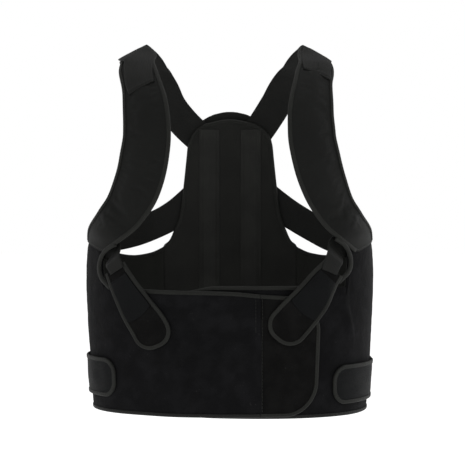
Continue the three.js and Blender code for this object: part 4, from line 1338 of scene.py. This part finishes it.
@dataclass
class Back:
    """The padded panel in the middle of the back, its stay channels and its outer cover."""

    shop: Workshop
    needle: Needle
    top_arch: float = 4.0
    cover_arch: float = 3.0
    panel_rim: float = 2.0
    panel_soft: float = 18.0
    sag: float = 0.5
    join_insets: tuple[float, float] = (3.0, 7.0)
    join_low: float = 0.04
    middle_seam: float = 6.0
    middle_top: float = 1.6
    middle_lift: float = -0.55
    channel_seam: float = 1.7
    channel_seam_lift: float = -0.65
    channel_groove: float = 0.3
    channel_flat: float = 0.9
    channel_sink: float = 0.3
    channel_highlight_rows: tuple[float, float] = (1.9, 3.3)
    channel_row_lift: float = -0.85
    stay_edge: tuple[float, float] = (2.6, 5.4)
    stay_ends: tuple[float, float] = (4.0, 9.0)
    cover_rows: tuple[float, float] = (2.2, 5.4)
    cover_row_depth: float = 0.35
    cover_swell: float = 0.5

    def outline(self, half: Column, low: float, high: float) -> Array:
        """The left edge of a piece of the back, from low to high, as (x, height)."""
        samples = 800
        levels = np.linspace(low, high, samples)
        line = np.stack([-PANEL_HALF_WIDTH * half.read(levels), height_of(levels)], 1)
        return spaced(line, CLOTH_PITCH)

    def arched(self, half_outline: Array, reach: float) -> Array:
        """A whole outline whose top is closed by a low arch.

        Args:
            half_outline: Its left edge, from low to high.
            reach: How high the arch rises.

        Returns:
            The left half and then the right half, run backwards.
        """
        x, z = half_outline[-1]
        steps = 9
        share = np.linspace(0, 1, steps + 1)[1:-1]
        arch = np.stack([x * (1 - share), z + reach * np.sin(share * math.pi / 2)], 1)
        return mirrored(np.concatenate([half_outline, arch]))

    def panel(self) -> None:
        """Makes the panel and the tape of its free edge."""
        half = Column(PANEL_HALF["level"], PANEL_HALF["half"])
        hem = (BINDING * 0.5) / UNDERARM
        left = self.outline(half, hem, float(PANEL_HALF["level"][-1]))
        whole = self.arched(left, self.top_arch)
        free_from = float(height_of(PANEL_FREE))
        bound = ease(whole[:, 1], free_from, free_from + 10)
        path = whole + inward(whole) * (0.5 * BINDING * bound)[:, None]
        across, along, distance = filled(path, PANEL / 2)
        puff = Ripple(height=0.35, wavelength=46, seed=3, stretch=2.0).read(across, along)
        rise = rim_share(distance, self.panel_rim)
        under, over = both_faces(PANEL, rise)
        under = under - (self.sag + puff) * ease(distance, 0, self.panel_soft) * rise
        surface = Face(REAR)
        made = quilt("back_padding", surface, across, along, under, over)
        panel = self.shop.dress(made, KNIT, "back_panel")
        free = whole[whole[:, 1] > free_from - 1]
        edge = spaced(free, TAPE_PITCH)
        towards = inward(edge)
        made = tape("back_padding_tape", surface, edge, towards, PANEL, -PROUD)
        self.shop.dress(made, TAPE, "back_panel_binding")
        seams = tape_seams(surface, edge, towards, PANEL, -PROUD)
        join_from = float(height_of(self.join_low))
        for x in (sign * (PANEL_HALF_WIDTH - inset) for sign in (-1, 1) for inset in self.join_insets):
            line = ruled((x, join_from), (x, free_from), CLOTH_PITCH)
            seams += [Seam(surface, line, PANEL), Seam(surface, line, 0.0, True)]
        x, low, high = self.middle_seam, float(height_of(CHANNEL_BOTTOM)), float(height_of(self.middle_top))
        seams.append(Seam(surface, ruled((x, low), (x, high), CLOTH_PITCH), self.middle_lift, True))
        self.shop.dress(self.needle.sew("back_padding_stitches", seams), THREAD)

    def channels(self) -> None:
        """Makes the two channels that hold the stays, and their seams."""
        low, high = float(height_of(CHANNEL_BOTTOM)), float(height_of(CHANNEL_TOP))
        rim, fine = 1.0, 1.5
        heights = rounded_steps(high - low, rim, CLOTH_PITCH) + low
        offsets = rounded_steps(CHANNEL_WIDTH, rim, fine) - CHANNEL_WIDTH / 2
        surface = Face(REAR)
        inset = CHANNEL_WIDTH / 2 - self.channel_seam
        seams, highlight_rows = [], []
        for side in Side:
            centre = side.value * CHANNEL_SPACING / 2
            across, along = strip_grid(offsets + centre, heights)
            edge = CHANNEL_WIDTH / 2 - np.abs(offsets)[None, :] + 0 * along
            ends = np.minimum(along - low, high - along)
            stay = ease(edge, *self.stay_edge) * ease(ends, *self.stay_ends)
            ripple = Ripple(height=0.14, wavelength=60, seed=5 + side.value, stretch=3.0)
            uneven = ripple.read(across, along)
            flat = self.channel_flat - self.channel_groove * line_of_sewing(edge - self.channel_seam, 0.6)
            filling = CHANNEL - self.channel_flat + uneven
            thick = flat * rim_share(np.minimum(edge, ends), rim) + filling * stay
            over = -GAP + self.channel_sink + 0 * thick
            made = quilt(f"channel_{side.word}", surface, across, along, -GAP - thick, over)
            piece = self.shop.dress(made, STAY_WEBBING, f"stay_channel_{side.word}")
            cut = Cut(CHANNEL_WIDTH, high - low, CHANNEL_WIDTH * (high - low))
            self.shop.sheet(piece, cut, "laid", ["back_padding"], [])
            for x in (centre - inset, centre + inset):
                line = ruled((x, low + 2), (x, high - 2), CLOTH_PITCH)
                seams.append(Seam(surface, line, -GAP + self.channel_seam_lift, True))
            # Painted highlight: the rows across the channel tops are sewn in pale thread to stand for the
            # light on their folded tops
            for drop in self.channel_highlight_rows:
                z = high - drop
                row = ruled((centre - inset + 1, z), (centre + inset - 1, z), CLOTH_PITCH)
                highlight_rows.append(Seam(surface, row, -GAP + self.channel_row_lift, True))
        self.shop.dress(self.needle.sew("channel_stitches", seams), LIGHT_THREAD)
        self.shop.dress(self.needle.sew("channel_top_stitches", highlight_rows), PALE_THREAD_AND_HIGHLIGHT)

    def cover(self) -> None:
        """Makes the outer cover, which bridges the crossing straps."""
        half = Column(COVER_HALF["level"], COVER_HALF["half"])
        left = self.outline(half, float(COVER_HALF["level"][0]), float(COVER_HALF["level"][-1]))
        path = self.arched(left, self.cover_arch)
        across, along, distance = filled(path, COVER / 2)
        crossing, bottom = float(height_of(CROSSING)), float(left[0, 1])

        def lift(x: Array, z: Array) -> Array:
            """The lift of the cover: over the straps, and down on the panel at its edge and hem."""
            out = np.abs(x) / PANEL_HALF_WIDTH
            edge = ease(out / half.read(level_of(z)), 0.8, 1)
            between = edge * ease(np.abs(z - crossing) / STRAP_WIDTH, 0.4, 0.15)
            below = ease(z, bottom + COVER_HEM, bottom) * ease(out, 0.57, 0.4)
            return BEHIND_STRAPS + (BEHIND_PANEL - BEHIND_STRAPS) * np.maximum(between, below)

        surface = Face(REAR, lift)
        rise = rim_share(distance, COVER / 2)
        ripple = Ripple(height=0.35, wavelength=50, seed=11, stretch=1.5)
        uneven = ripple.read(across, along) * ease(distance, 0, 15)
        under, over = both_faces(COVER, rise)
        over = over + uneven + self.cover_swell * ease(distance, 2, 7) - PROUD
        under = under + 0.5 * uneven
        made = quilt("back_outer_cover", surface, across, along, under, over)
        piece = self.shop.dress(made, KNIT, "back_cover")
        line = spaced(path, CLOTH_PITCH)
        rows = [line + inward(line) * inset for inset in self.cover_rows]
        top = COVER - self.cover_row_depth
        thread = self.needle.sew("cover_stitches", [Seam(surface, row, top) for row in rows])
        trims = [self.shop.dress(thread, THREAD)]
        self.shop.sheet(piece, Cut.of(path), "stretched", ["back_padding"], trims)

    def build(self) -> None:
        """Makes the whole back."""
        self.panel()
        self.channels()
        self.cover()


@dataclass
class Harness:
    """The padded front straps and the elastic straps that cross behind."""

    shop: Workshop
    needle: Needle
    short: float = 24.0
    slant: float = 0.84
    slant_length: float = 45.0
    corner: float = 8.0
    crown: float = 0.8
    pressure: float = 1.5
    most: float = 0.8
    fold: float = 8.0
    sink: float = 2.1
    flatness: float = 0.35
    tab_reach: float = 4.0
    sewn_run: tuple[float, float] = (3.0, 30.0)
    end_press: float = 0.75
    tape_press: float = 0.62
    taped_from: float = 24.0
    hem_rows: tuple[float, float] = (2.4, 6.4)
    hem_row_share: float = 0.27
    loose_edge: tuple[float, float] = (2.0, 12.0)
    loose_end: tuple[float, float] = (14.0, 60.0)
    loose_under: float = 0.25
    fold_rows: tuple[float, float] = (1.6, 1.4)
    fold_height: float = 0.45
    row_depth: float = 0.4
    row_width: float = 0.8
    row_share: float = 0.37
    tab_run: tuple[float, float] = (4.0, 34.0)
    tab_sink: float = 0.6
    pad_run: tuple[float, float] = (40.0, 80.0)

    def pad(self, side: Side) -> None:
        """Makes one padded strap, whose lower end is cut at a slant and topstitched to the belt."""
        route = Route(side, PAD_ROUTE[side])
        length = route.length - self.short
        path = round_ended(route, PAD_WIDTH, 0, length, self.corner)
        open_end = path[:, 1] > length - self.corner + 1
        path[:, 1] -= self.slant * path[:, 0] * ease(path[:, 1], length - self.slant_length, length)
        inset = np.where(open_end, PROUD, TUCK)
        ripple = Ripple(height=0.35, wavelength=55, seed=20 + side.value, stretch=1.6)
        across, along, under, over, distance = padding(path, inset, PAD, self.crown, ripple)
        from_end = length - self.slant * across - along
        sewn = 1 - ease(from_end, *self.sewn_run)
        over = over - sewn * (over - PROUD) * self.end_press
        cloth = quilt(f"pad_{side.word}", route, across, along, under, over)
        free = ease(distance, *self.loose_edge) * ease(from_end, *self.loose_end)
        loose = np.concatenate([free.ravel(), self.loose_under * free[1:-1, 1:-1].ravel()])
        swelled(cloth, loose, self.pressure, self.most)
        self.shop.dress(cloth, SHADED_PAD_KNIT, f"shoulder_pad_{side.word}")
        first = int(np.argmax(open_end))
        outer, inner_edge = path[: first + 2], path[len(path) - first - 2:]
        seams = []
        for word, run in (("outer", outer), ("inner", inner_edge)):
            edge = spaced(run, TAPE_PITCH)
            towards = inward(edge)
            low = length - self.slant * edge[:, 0] - edge[:, 1]
            pressed = 1 - self.tape_press * (1 - ease(low, *self.sewn_run))
            made = tape(f"pad_{word}_tape_{side.word}", route, edge, towards, PAD, 0.0, pressed)
            self.shop.dress(made, TAPE, f"shoulder_pad_binding_{side.word}")
            whole = low > self.taped_from
            seams += tape_seams(route, edge[whole], towards[whole], PAD)
        hem = spaced(path[first - 1: len(path) - first + 1], SEAM_PITCH)
        trim = 4
        for step in self.hem_rows:
            row = (hem + inward(hem) * step)[trim:-trim]
            seams.append(Seam(route, row, PROUD + PAD * self.hem_row_share))
        self.shop.dress(self.needle.sew(f"pad_stitches_{side.word}", seams), THREAD)

    def strap(self, side: Side) -> None:
        """Makes one elastic strap, hemmed where it is sewn on the pad."""
        route = Route(side, STRAP_ROUTE[side])
        rim = STRAP / 2
        length = route.length - self.tab_reach
        stations = rounded_steps(length, rim, CLOTH_PITCH)
        stations = np.unique(np.concatenate([stations, np.linspace(0.8, self.fold + 2, 14)]))
        columns = rounded_steps(STRAP_WIDTH, rim, CLOTH_PITCH) / STRAP_WIDTH - 0.5
        share = route.at(stations, "share")
        across = columns[None, :] * STRAP_WIDTH * share[:, None]
        along = stations[:, None] + 0 * across
        edge = (0.5 - np.abs(columns))[None, :] * STRAP_WIDTH * share[:, None]
        ends = np.minimum(stations, length - stations)[:, None]
        rise = rim_share(np.minimum(edge, ends), rim)
        spots = (self.fold_rows[0], self.fold - self.fold_rows[1])
        rows = sum(line_of_sewing(along - spot, self.row_width) for spot in spots)
        hem = self.fold_height * (1 - ease(along, self.fold - 1, self.fold + 0.4)) - self.row_depth * rows
        pressed = 1 - ease(length - along, *self.tab_run)
        low = -self.sink * (1 - ease(along, *self.pad_run)) - self.tab_sink * pressed
        thick = STRAP * (1 - self.flatness * pressed)
        ripple = Ripple(height=0.22, wavelength=60, seed=60 + side.value, stretch=2.0)
        uneven = ripple.read(across, along) * ease(edge, 0, 9)
        under, over = both_faces(thick, rise)
        over = low + over + (hem + uneven) * rise
        under = low + under + 0.5 * uneven * rise
        made = quilt(f"elastic_{side.word}", route, across, along, under, over)
        piece = self.shop.dress(made, WEBBING, f"cross_strap_{side.word}")
        half = STRAP_WIDTH * self.row_share
        top = STRAP - self.sink + 0.1
        seams = [Seam(route, ruled((-half, spot), (half, spot), SEAM_PITCH), top) for spot in spots]
        thread = self.shop.dress(self.needle.sew(f"elastic_stitches_{side.word}", seams), THREAD)
        area = float(np.trapz(STRAP_WIDTH * share, stations))
        cut = Cut(STRAP_WIDTH, length, area)
        self.shop.sheet(piece, cut, "stretched", [f"pad_{side.word}", "back_padding"], [thread])

    def build(self) -> None:
        """Makes both pads and both straps."""
        for side in Side:
            self.pad(side)
            self.strap(side)


class WingFace(Surface):
    """The belt on one side: across is the turn at half height, along the level."""

    half_height: float = 0.5

    def __init__(self, side: Side) -> None:
        """Works out where the wing's seams are."""
        self.side = side.value
        self.half = PANEL_HALF_WIDTH + GAP
        self.front_x = GAP / 2 - CLOSURE_SEAM if side is Side.LEFT else -UNDERLAP
        self.spine_x = GAP / 2
        middle = np.array(self.half_height)
        self.back = float(SKIN.turn_at(self.side, self.half, REAR, middle))
        self.front = float(SKIN.turn_at(self.side, self.front_x, FRONT, middle))
        self.spine = float(SKIN.turn_at(self.side, self.spine_x, REAR, middle))
        self.wraps = side is Side.LEFT

    def spot(self, across: Array, along: Array) -> tuple[Array, Array, Array]:
        """The turn, the level and the lift of the piece's under side."""
        rear = across < self.back
        back = SKIN.turn_at(self.side, self.half, REAR, along)
        front = SKIN.turn_at(self.side, self.front_x, FRONT, along)
        spine = SKIN.turn_at(self.side, self.spine_x, REAR, along)
        ahead = back + (front - back) * (across - self.back) / (self.front - self.back)
        behind = spine + (back - spine) * (across - self.spine) / (self.back - self.spine)
        lift = WRAP_DEPTH * ease(across, WRAP_START, WRAP_END) if self.wraps else 0 * across
        return np.where(rear, behind, ahead), along, lift

    def turns(self, start: float, end: float, pitch: float) -> Array:
        """Turns at even distances round the belt."""
        samples = 400
        fine = np.linspace(start, end, samples)
        along = lengths(SKIN.point(self.side, fine, np.full_like(fine, self.half_height)))
        count = max(2, math.ceil(along[-1] / pitch))
        return np.interp(np.linspace(0, along[-1], count), along, fine)


@dataclass
class Belt:
    """The two wings of the belt, the closing tab, the loops and the pull bands."""

    shop: Workshop
    needle: Needle
    even_below: float = 0.6
    inner_seam: float = 5.0
    overlap: float = 1.2
    crease_low: tuple[float, float] = (25.0, 0.42)
    crease_high: tuple[float, float] = (31.8, 0.73)
    crease_height: float = 2.0
    crease_fall: tuple[float, float] = (4.5, 0.0)
    crease_climb: tuple[float, float] = (-0.6, 0.1)
    crease_fade: tuple[float, float] = (0.62, 0.3)
    rim: float = 1.6
    hem_rim: float = 0.008
    groove: float = 0.9
    edge_press: float = 0.5
    soft_run: float = 12.0
    press_run: float = 10.0
    front_rows: tuple[float, float] = (-1.3, 2.4)
    front_row_levels: tuple[float, float] = (0.03, 0.65)
    front_row_depth: float = 0.25
    closure_sink: float = 0.2
    loop_thickness: float = 3.4
    loop_seam: float = 1.1
    loop_seam_depth: float = 0.15
    pull_corner: float = 18.0
    pull_seam: tuple[float, float] = (16.0, 2.5)
    pull_seam_depth: float = 0.2
    bartack_turns: tuple[float, float] = (-26.0, -34.5)
    bartack_level: float = 0.775

    def crease(self, side: Side, turn: Array, level: Array) -> Array:
        """The height of the fold that runs down the right wing, in front of the arm."""
        if side is Side.LEFT:
            return 0 * turn
        (low_turn, low), (high_turn, high) = self.crease_low, self.crease_high
        share = (level - low) / (high - low)
        away = turn - (low_turn + (high_turn - low_turn) * share)
        fold = ease(away, *self.crease_fall) * ease(away, *self.crease_climb)
        return self.crease_height * fold * ease(np.abs(share - 0.5), *self.crease_fade)

    def wing(self, side: Side) -> None:
        """Makes one wing and its tapes."""
        face = WingFace(side)
        rows = WING_EDGE[side]
        top, hem = Column(rows["turn"], rows["top"]), Column(rows["turn"], rows["hem"])
        notch_back, notch_front = NOTCH[side]
        inset = 0.5 * BINDING / UNDERARM
        front = face.front + (self.overlap if side is Side.LEFT else 0)
        turns = np.concatenate([
            face.turns(face.back - self.overlap, notch_back, CLOTH_PITCH),
            face.turns(notch_front, front, CLOTH_PITCH),
        ])
        low, high = hem.read(turns) + inset, top.read(turns) - inset
        pitch = CLOTH_PITCH / UNDERARM
        below = rounded_steps(2 * self.even_below, self.hem_rim, pitch)
        below = below[below < self.even_below] / self.even_below
        count = math.ceil((float(high.max()) - self.even_below) / pitch)
        above = np.sin(np.linspace(0, 1, count + 1) * math.pi / 2)
        lower = low[:, None] + (self.even_below - low)[:, None] * below[None, :]
        upper = self.even_below + (high - self.even_below)[:, None] * above[None, :]
        along = np.concatenate([lower, upper], 1)
        across = turns[:, None] + 0 * along
        edge = np.minimum(along - low[:, None], high[:, None] - along) * UNDERARM
        rise = rim_share(edge, self.rim)
        per_degree = CHEST_HALF_WIDTH * math.pi / 180
        flat_x, flat_z = across * per_degree, along * UNDERARM
        waves = Ripple(height=0.5, wavelength=70, seed=31 + side.value).read(flat_x, flat_z)
        ripples = Ripple(height=0.1, wavelength=14, seed=41 + side.value).read(flat_x, flat_z)
        uneven = (waves + ripples) * ease(edge, 0, self.soft_run)
        pressed = self.edge_press * (1 - ease(edge, 0, self.press_run))
        groove = self.groove * line_of_sewing(across - face.front, 1.4) if side is Side.LEFT else 0
        under, over = both_faces(WING, rise)
        over = over + uneven + self.crease(side, across, along) - (pressed + groove) * rise
        under = under + 0.4 * uneven + 0.3 * pressed
        under = under + self.groove * line_of_sewing(across - face.back - self.inner_seam, 1.2) * rise
        made = quilt(f"belt_{side.word}", face, across, along, under, over)
        cloth = made.data.attributes["cloth"].data
        values = np.empty(len(cloth) * 3, np.float32)
        cloth.foreach_get("vector", values)
        values = values.reshape(-1, 3) * [per_degree, UNDERARM, 1]
        cloth.foreach_set("vector", values.astype(np.float32).ravel())
        piece = self.shop.dress(made, PLUSH, f"wing_{side.word}")
        trims, seams = [], []
        runs = (
            ("top", face.turns(face.back - 2 * self.overlap, notch_back, TAPE_PITCH), top, -1),
            ("front", face.turns(notch_front + 6, face.front, TAPE_PITCH), top, -1),
            ("hem", face.turns(face.spine - 0.5, face.front, TAPE_PITCH), hem, 1),
        )
        for word, stops, curve, inside in runs:
            line = np.stack([stops, curve.read(stops)], 1)
            towards = np.stack([0 * stops, np.full_like(stops, inside / UNDERARM)], 1)
            strip = tape(f"belt_{word}_tape_{side.word}", face, line, towards, WING, -PROUD)
            finish = TAPE if word == "front" else DARK_TAPE
            trims.append(self.shop.dress(strip, finish, f"wing_{word}_binding_{side.word}"))
            seams += tape_seams(face, line, towards, WING, -PROUD)
        if side is Side.LEFT:
            levels = np.linspace(*self.front_row_levels, 60)
            for step in self.front_rows:
                line = np.stack([np.full_like(levels, face.front - step), levels], 1)
                seams.append(Seam(face, line, WING - self.front_row_depth))
        trims.append(self.shop.dress(self.needle.sew(f"belt_stitches_{side.word}", seams), THREAD))
        stretch = lengths(face.points(turns, np.full_like(turns, 0.4), 0.0))
        cut = Cut(UNDERARM, float(stretch[-1]), float(np.trapz((high - low) * UNDERARM, stretch)))
        self.shop.sheet(piece, cut, "stretched", ["back_padding"], trims)

    def bartack(self) -> None:
        """Makes the short pale bar of stitches on the inside of the left wing."""
        face = WingFace(Side.LEFT)
        turns = np.linspace(*self.bartack_turns, 26)
        line = np.stack([turns, np.full_like(turns, self.bartack_level)], 1)
        self.shop.dress(self.needle.sew("belt_bartack", [Seam(face, line, 0.15, True)]), PALE_THREAD_AND_HIGHLIGHT)

    def closure(self) -> None:
        """Makes the tab that closes the belt in front."""
        top, seam_top, sweep = 0.65, 0.673, 5.0
        start = CLOSURE_SEAM + GAP / 2 - PROUD
        high, seam_high = float(height_of(top)), float(height_of(seam_top))
        turn_from = CLOSURE_REACH - CLOSURE_CORNER
        straight_points, corner_points = 12, 22
        straight = np.linspace(start, turn_from, straight_points)
        angle = np.linspace(0, math.pi / 2, corner_points)[1:]
        round_x = turn_from + CLOSURE_CORNER * np.sin(angle)
        round_z = high - CLOSURE_CORNER + CLOSURE_CORNER * np.cos(angle)
        upper = np.concatenate([
            np.stack([straight, np.full_like(straight, high)], 1),
            np.stack([round_x, round_z], 1),
        ])
        outline = np.concatenate([upper, (upper * [1, -1] + [0, high])[::-1]])
        out = (outline[:, 0] - start) / (CLOSURE_REACH - start)
        outline = np.stack([
            outline[:, 0] - sweep * out * (1 - outline[:, 1] / high),
            outline[:, 1] * (seam_high / high + (1 - seam_high / high) * out),
        ], 1)
        surface = Face(FRONT, WING_OUTER - self.closure_sink)
        bound = Bound(
            "closing_tab", "closing_tab_tape", "closure_tab", "closure_binding", SHADED_TAB_PLUSH, CLOSURE,
            crown=0.3, ripple=Ripple(height=0.25, wavelength=40, seed=51),
        )
        piece, strip, seams = bound.make(self.shop, surface, outline)
        thread = self.shop.dress(self.needle.sew("closing_tab_stitches", seams), THREAD)
        self.shop.sheet(piece, Cut.of(outline), "stretched", ["belt_right", "belt_left"], [strip, thread])

    def loop(self, side: Side) -> None:
        """Makes the bound edge that guides the strap at the notch and runs on from the pad's tape."""
        route = Route(side, LOOP_ROUTE[side])
        rim = self.loop_thickness / 2
        stations = rounded_steps(route.length, rim, TAPE_PITCH)
        columns = rounded_steps(LOOP_WIDTH, rim, 1.2) - LOOP_WIDTH / 2
        across, along = strip_grid(columns, stations)
        ends = np.minimum(along, route.length - along)
        edge = np.minimum((LOOP_WIDTH / 2 - np.abs(columns))[None, :], ends)
        lifts = both_faces(self.loop_thickness, rim_share(edge, rim))
        made = quilt(f"loop_{side.word}", route, across, along, *lifts)
        self.shop.dress(made, TAPE, f"strap_loop_{side.word}")
        spots = np.linspace(3, route.length - 3, 30)
        line = np.stack([np.full_like(spots, self.loop_seam), spots], 1)
        seam = Seam(route, line, self.loop_thickness - self.loop_seam_depth)
        self.shop.dress(self.needle.sew(f"loop_stitches_{side.word}", [seam]), THREAD)

    def pull(self, side: Side) -> None:
        """Makes the elastic band from the back and the bound tab at its end."""
        route = Route(side, PULL_ROUTE[side])
        tab = route.length - PULL_TAB_LENGTH
        reach = tab + 3
        rim = BAND / 2
        stations = rounded_steps(reach, rim, CLOTH_PITCH)
        columns = rounded_steps(PULL_WIDTH, rim, CLOTH_PITCH) - PULL_WIDTH / 2
        across, along = strip_grid(columns, stations)
        edge = np.minimum((PULL_WIDTH / 2 - np.abs(columns))[None, :], along)
        lifts = both_faces(BAND, rim_share(edge, rim))
        made = quilt(f"pull_elastic_{side.word}", route, across, along, *lifts)
        band = self.shop.dress(made, WEBBING, f"pull_band_{side.word}")
        box = np.array([(-19, 3), (19, 3), (19, 22), (-19, 22), (-19, 3), (19, 22)], float)
        seam = Seam(route, spaced(box, SEAM_PITCH), BAND)
        thread = self.needle.sew(f"pull_elastic_stitches_{side.word}", [seam])
        trims = [self.shop.dress(thread, THREAD)]
        cut = Cut(PULL_WIDTH, reach, PULL_WIDTH * reach)
        self.shop.sheet(band, cut, "stretched", [f"belt_{side.word}"], trims)
        path = round_ended(route, PULL_WIDTH, tab, route.length, self.pull_corner)
        bound = Bound(
            f"pull_end_{side.word}", f"pull_end_tape_{side.word}", f"pull_tab_{side.word}",
            f"pull_tab_binding_{side.word}", HOOKS, BAND, crown=0.2,
            ripple=Ripple(height=0.15, wavelength=30, seed=71 + side.value),
        )
        piece, strip, seams = bound.make(self.shop, route, path)
        half, spot = self.pull_seam[0], tab + self.pull_seam[1]
        start = ruled((-half, spot), (half, spot), SEAM_PITCH)
        seams.append(Seam(route, start, BAND + PROUD - self.pull_seam_depth))
        thread = self.shop.dress(self.needle.sew(f"pull_end_stitches_{side.word}", seams), THREAD)
        self.shop.sheet(piece, Cut.of(path), "stretched", [f"belt_{side.word}"], [strip, thread])

    def build(self) -> None:
        """Makes the whole belt."""
        for side in Side:
            self.wing(side)
            self.loop(side)
            self.pull(side)
        self.closure()
        self.bartack()


@dataclass
class Tabs:
    """The hanging tabs at the ends of the elastic straps."""

    shop: Workshop
    needle: Needle
    patch_start: float = 0.12
    patch_end: float = 0.58
    patch_bow: float = 3.0
    patch_lift: float = 0.35
    patch_margin: float = 0.4
    patch_seam_inset: float = 1.2
    patch_seam_depth: float = 0.1
    meeting_level: float = 0.45
    meeting_turns: tuple[float, float] = (-9.0, -1.0)
    meeting_fade: tuple[float, float] = (0.79, 0.69)

    def seat(self, side: Side) -> Callable[[Array, Array], Array]:
        """The lift of a tab's under side, over its wing and, on the right, over the closing tab too."""
        if side is Side.LEFT:
            return lambda turn, level: WING_OUTER + WRAP_DEPTH * ease(turn, WRAP_START, WRAP_END)
        edge = float(SKIN.turn_at(1, np.array(CLOSURE_REACH), FRONT, np.array(self.meeting_level)))

        def right(turn: Array, level: Array) -> Array:
            """The lift where the closing tab may lie under the hanging one."""
            first, last = self.meeting_turns
            near = ease(turn, edge + first, edge + last)
            return WING_OUTER + CLOSURE_DEPTH * near * ease(level, *self.meeting_fade)

        return right

    def tab(self, side: Side) -> None:
        """Makes one tab, its tape and its hook patch."""
        route = Route(side, TONGUE_ROUTE[side], self.seat(side))
        path = round_ended(route, TONGUE_WIDTH, 0, TONGUE_LENGTH, TONGUE_WIDTH / 2)
        bound = Bound(
            f"tab_{side.word}", f"tab_tape_{side.word}", f"tongue_{side.word}", f"tongue_binding_{side.word}",
            SHADED_TAB_PLUSH, TONGUE, crown=0.3, ripple=Ripple(height=0.15, wavelength=35, seed=81 + side.value),
        )
        cloth, strip, seams = bound.make(self.shop, route, path)
        trims = [strip]
        start, end = self.patch_start * TONGUE_LENGTH, self.patch_end * TONGUE_LENGTH
        stations = rounded_steps(end - start, HOOK / 2, CLOTH_PITCH) + start
        half = TONGUE_WIDTH * route.at(stations, "share") / 2 - BINDING - self.patch_margin
        rim, pitch = 0.03, 0.12
        columns = rounded_steps(2.0, rim, pitch) - 1
        across = columns[None, :] * half[:, None]
        bow = self.patch_bow * (1 - columns**2)[None, :] * ease(stations, start, end)[:, None]
        along = stations[:, None] + bow
        ends = np.minimum(stations - start, end - stations)[:, None]
        near = np.minimum((1 - np.abs(columns))[None, :] * half[:, None], ends)
        under, over = both_faces(HOOK, rim_share(near, HOOK / 2))
        base = TONGUE + PROUD + self.patch_lift
        patch = quilt(f"tab_patch_{side.word}", route, across, along, base + under, base + over)
        trims.append(self.shop.dress(patch, HOOKS, f"tongue_hook_{side.word}"))
        inner = half[1:-1] - self.patch_seam_inset
        rows = np.concatenate([
            np.stack([-inner, stations[1:-1]], 1),
            np.stack([inner, stations[1:-1]], 1)[::-1],
        ])
        seams.append(Seam(route, spaced(rows, SEAM_PITCH), base + HOOK - self.patch_seam_depth))
        trims.append(self.shop.dress(self.needle.sew(f"tab_stitches_{side.word}", seams), THREAD))
        self.shop.sheet(cloth, Cut.of(path), "hung", [f"elastic_{side.word}"], trims)

    def build(self) -> None:
        """Makes both tabs."""
        for side in Side:
            self.tab(side)


@dataclass
class Studio:
    """The pale floor, the soft lights and the camera."""

    eye: tuple[float, float, float] = (0.003, -1.6, -0.214)
    view_width: float = 0.558
    floor_drop: float = 0.75
    floor_size: float = 60.0
    floor_glow: float = 0.7
    surround: float = 0.44
    aim: tuple[float, float, float] = (0.0, 0.0, -0.2)

    def floor(self) -> None:
        """Lays a wide pale floor."""
        bpy.ops.mesh.primitive_plane_add(size=self.floor_size, location=(0, 0, -self.floor_drop))
        floor = bpy.context.object
        floor.name = "floor"
        made = bpy.data.materials.new("pale_floor")
        made.use_nodes = True
        shader = made.node_tree.nodes["Principled BSDF"]
        shader.inputs["Base Color"].default_value = (0.9, 0.9, 0.9, 1)
        shader.inputs["Roughness"].default_value = 0.95
        shader.inputs["Emission Color"].default_value = (1, 1, 1, 1)
        shader.inputs["Emission Strength"].default_value = self.floor_glow
        floor.data.materials.append(made)

    def surroundings(self) -> None:
        """Makes the studio's walls: white to look at, and a softer light on the piece."""
        world = bpy.data.worlds.new("studio")
        world.use_nodes = True
        sketch = Sketch(world.node_tree)
        world.node_tree.nodes.clear()
        white = sketch.node("ShaderNodeBackground", {"Color": (1, 1, 1, 1), "Strength": 1.0})
        soft = sketch.node("ShaderNodeBackground", {"Color": (1, 1, 1, 1), "Strength": self.surround})
        seen = sketch.node("ShaderNodeLightPath").outputs["Is Camera Ray"]
        blend = sketch.node("ShaderNodeMixShader")
        for socket, value in zip(blend.inputs, (seen, soft.outputs[0], white.outputs[0])):
            sketch.feed(socket, value)
        output = sketch.node("ShaderNodeOutputWorld")
        sketch.feed(output.inputs["Surface"], blend.outputs[0])
        bpy.context.scene.world = world

    def lights(self) -> None:
        """Hangs soft lights in front, on both sides and over."""
        lamps = {
            "key": ((0.7, -1.8, 1.2), 1.2, 13.0),
            "fill": ((-1.5, -1.5, 0.7), 1.5, 5.0),
            "right_edge": ((1.7, 0.7, 0.2), 1.2, 11.0),
            "left_edge": ((-1.7, 0.8, 0.2), 1.2, 5.0),
            "top": ((0.0, 0.2, 1.8), 1.4, 10.0),
        }
        for name, (place, size, power) in lamps.items():
            data = bpy.data.lights.new(name, "AREA")
            data.size, data.energy = size, power
            lamp = bpy.data.objects.new(name, data)
            lamp.location = place
            beam = Vector(self.aim) - Vector(place)
            lamp.rotation_euler = beam.to_track_quat("-Z", "Y").to_euler()
            bpy.context.scene.collection.objects.link(lamp)

    def camera(self) -> None:
        """Sets up the camera at the photograph's viewing angle."""
        data = bpy.data.cameras.new("camera")
        data.lens = data.sensor_width * -self.eye[1] / self.view_width
        camera = bpy.data.objects.new("camera", data)
        camera.location = self.eye
        camera.rotation_euler = (math.pi / 2, 0, 0)
        bpy.context.scene.collection.objects.link(camera)
        bpy.context.scene.camera = camera

    def build(self) -> None:
        """Sets up the whole studio."""
        self.floor()
        self.surroundings()
        self.lights()
        self.camera()
        bpy.context.scene.view_settings.view_transform = "Standard"


def main() -> None:
    """Builds the brace and its studio."""
    logging.basicConfig(level=logging.INFO, format="%(message)s")
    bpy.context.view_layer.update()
    Studio().build()
    shop, needle = Workshop(), Needle()
    for assembly in (Back(shop, needle), Harness(shop, needle), Belt(shop, needle), Tabs(shop, needle)):
        assembly.build()
    log.info("%d pieces over %d nodes of the part", shop.count, len(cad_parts))


if __name__ == "__main__":
    main()
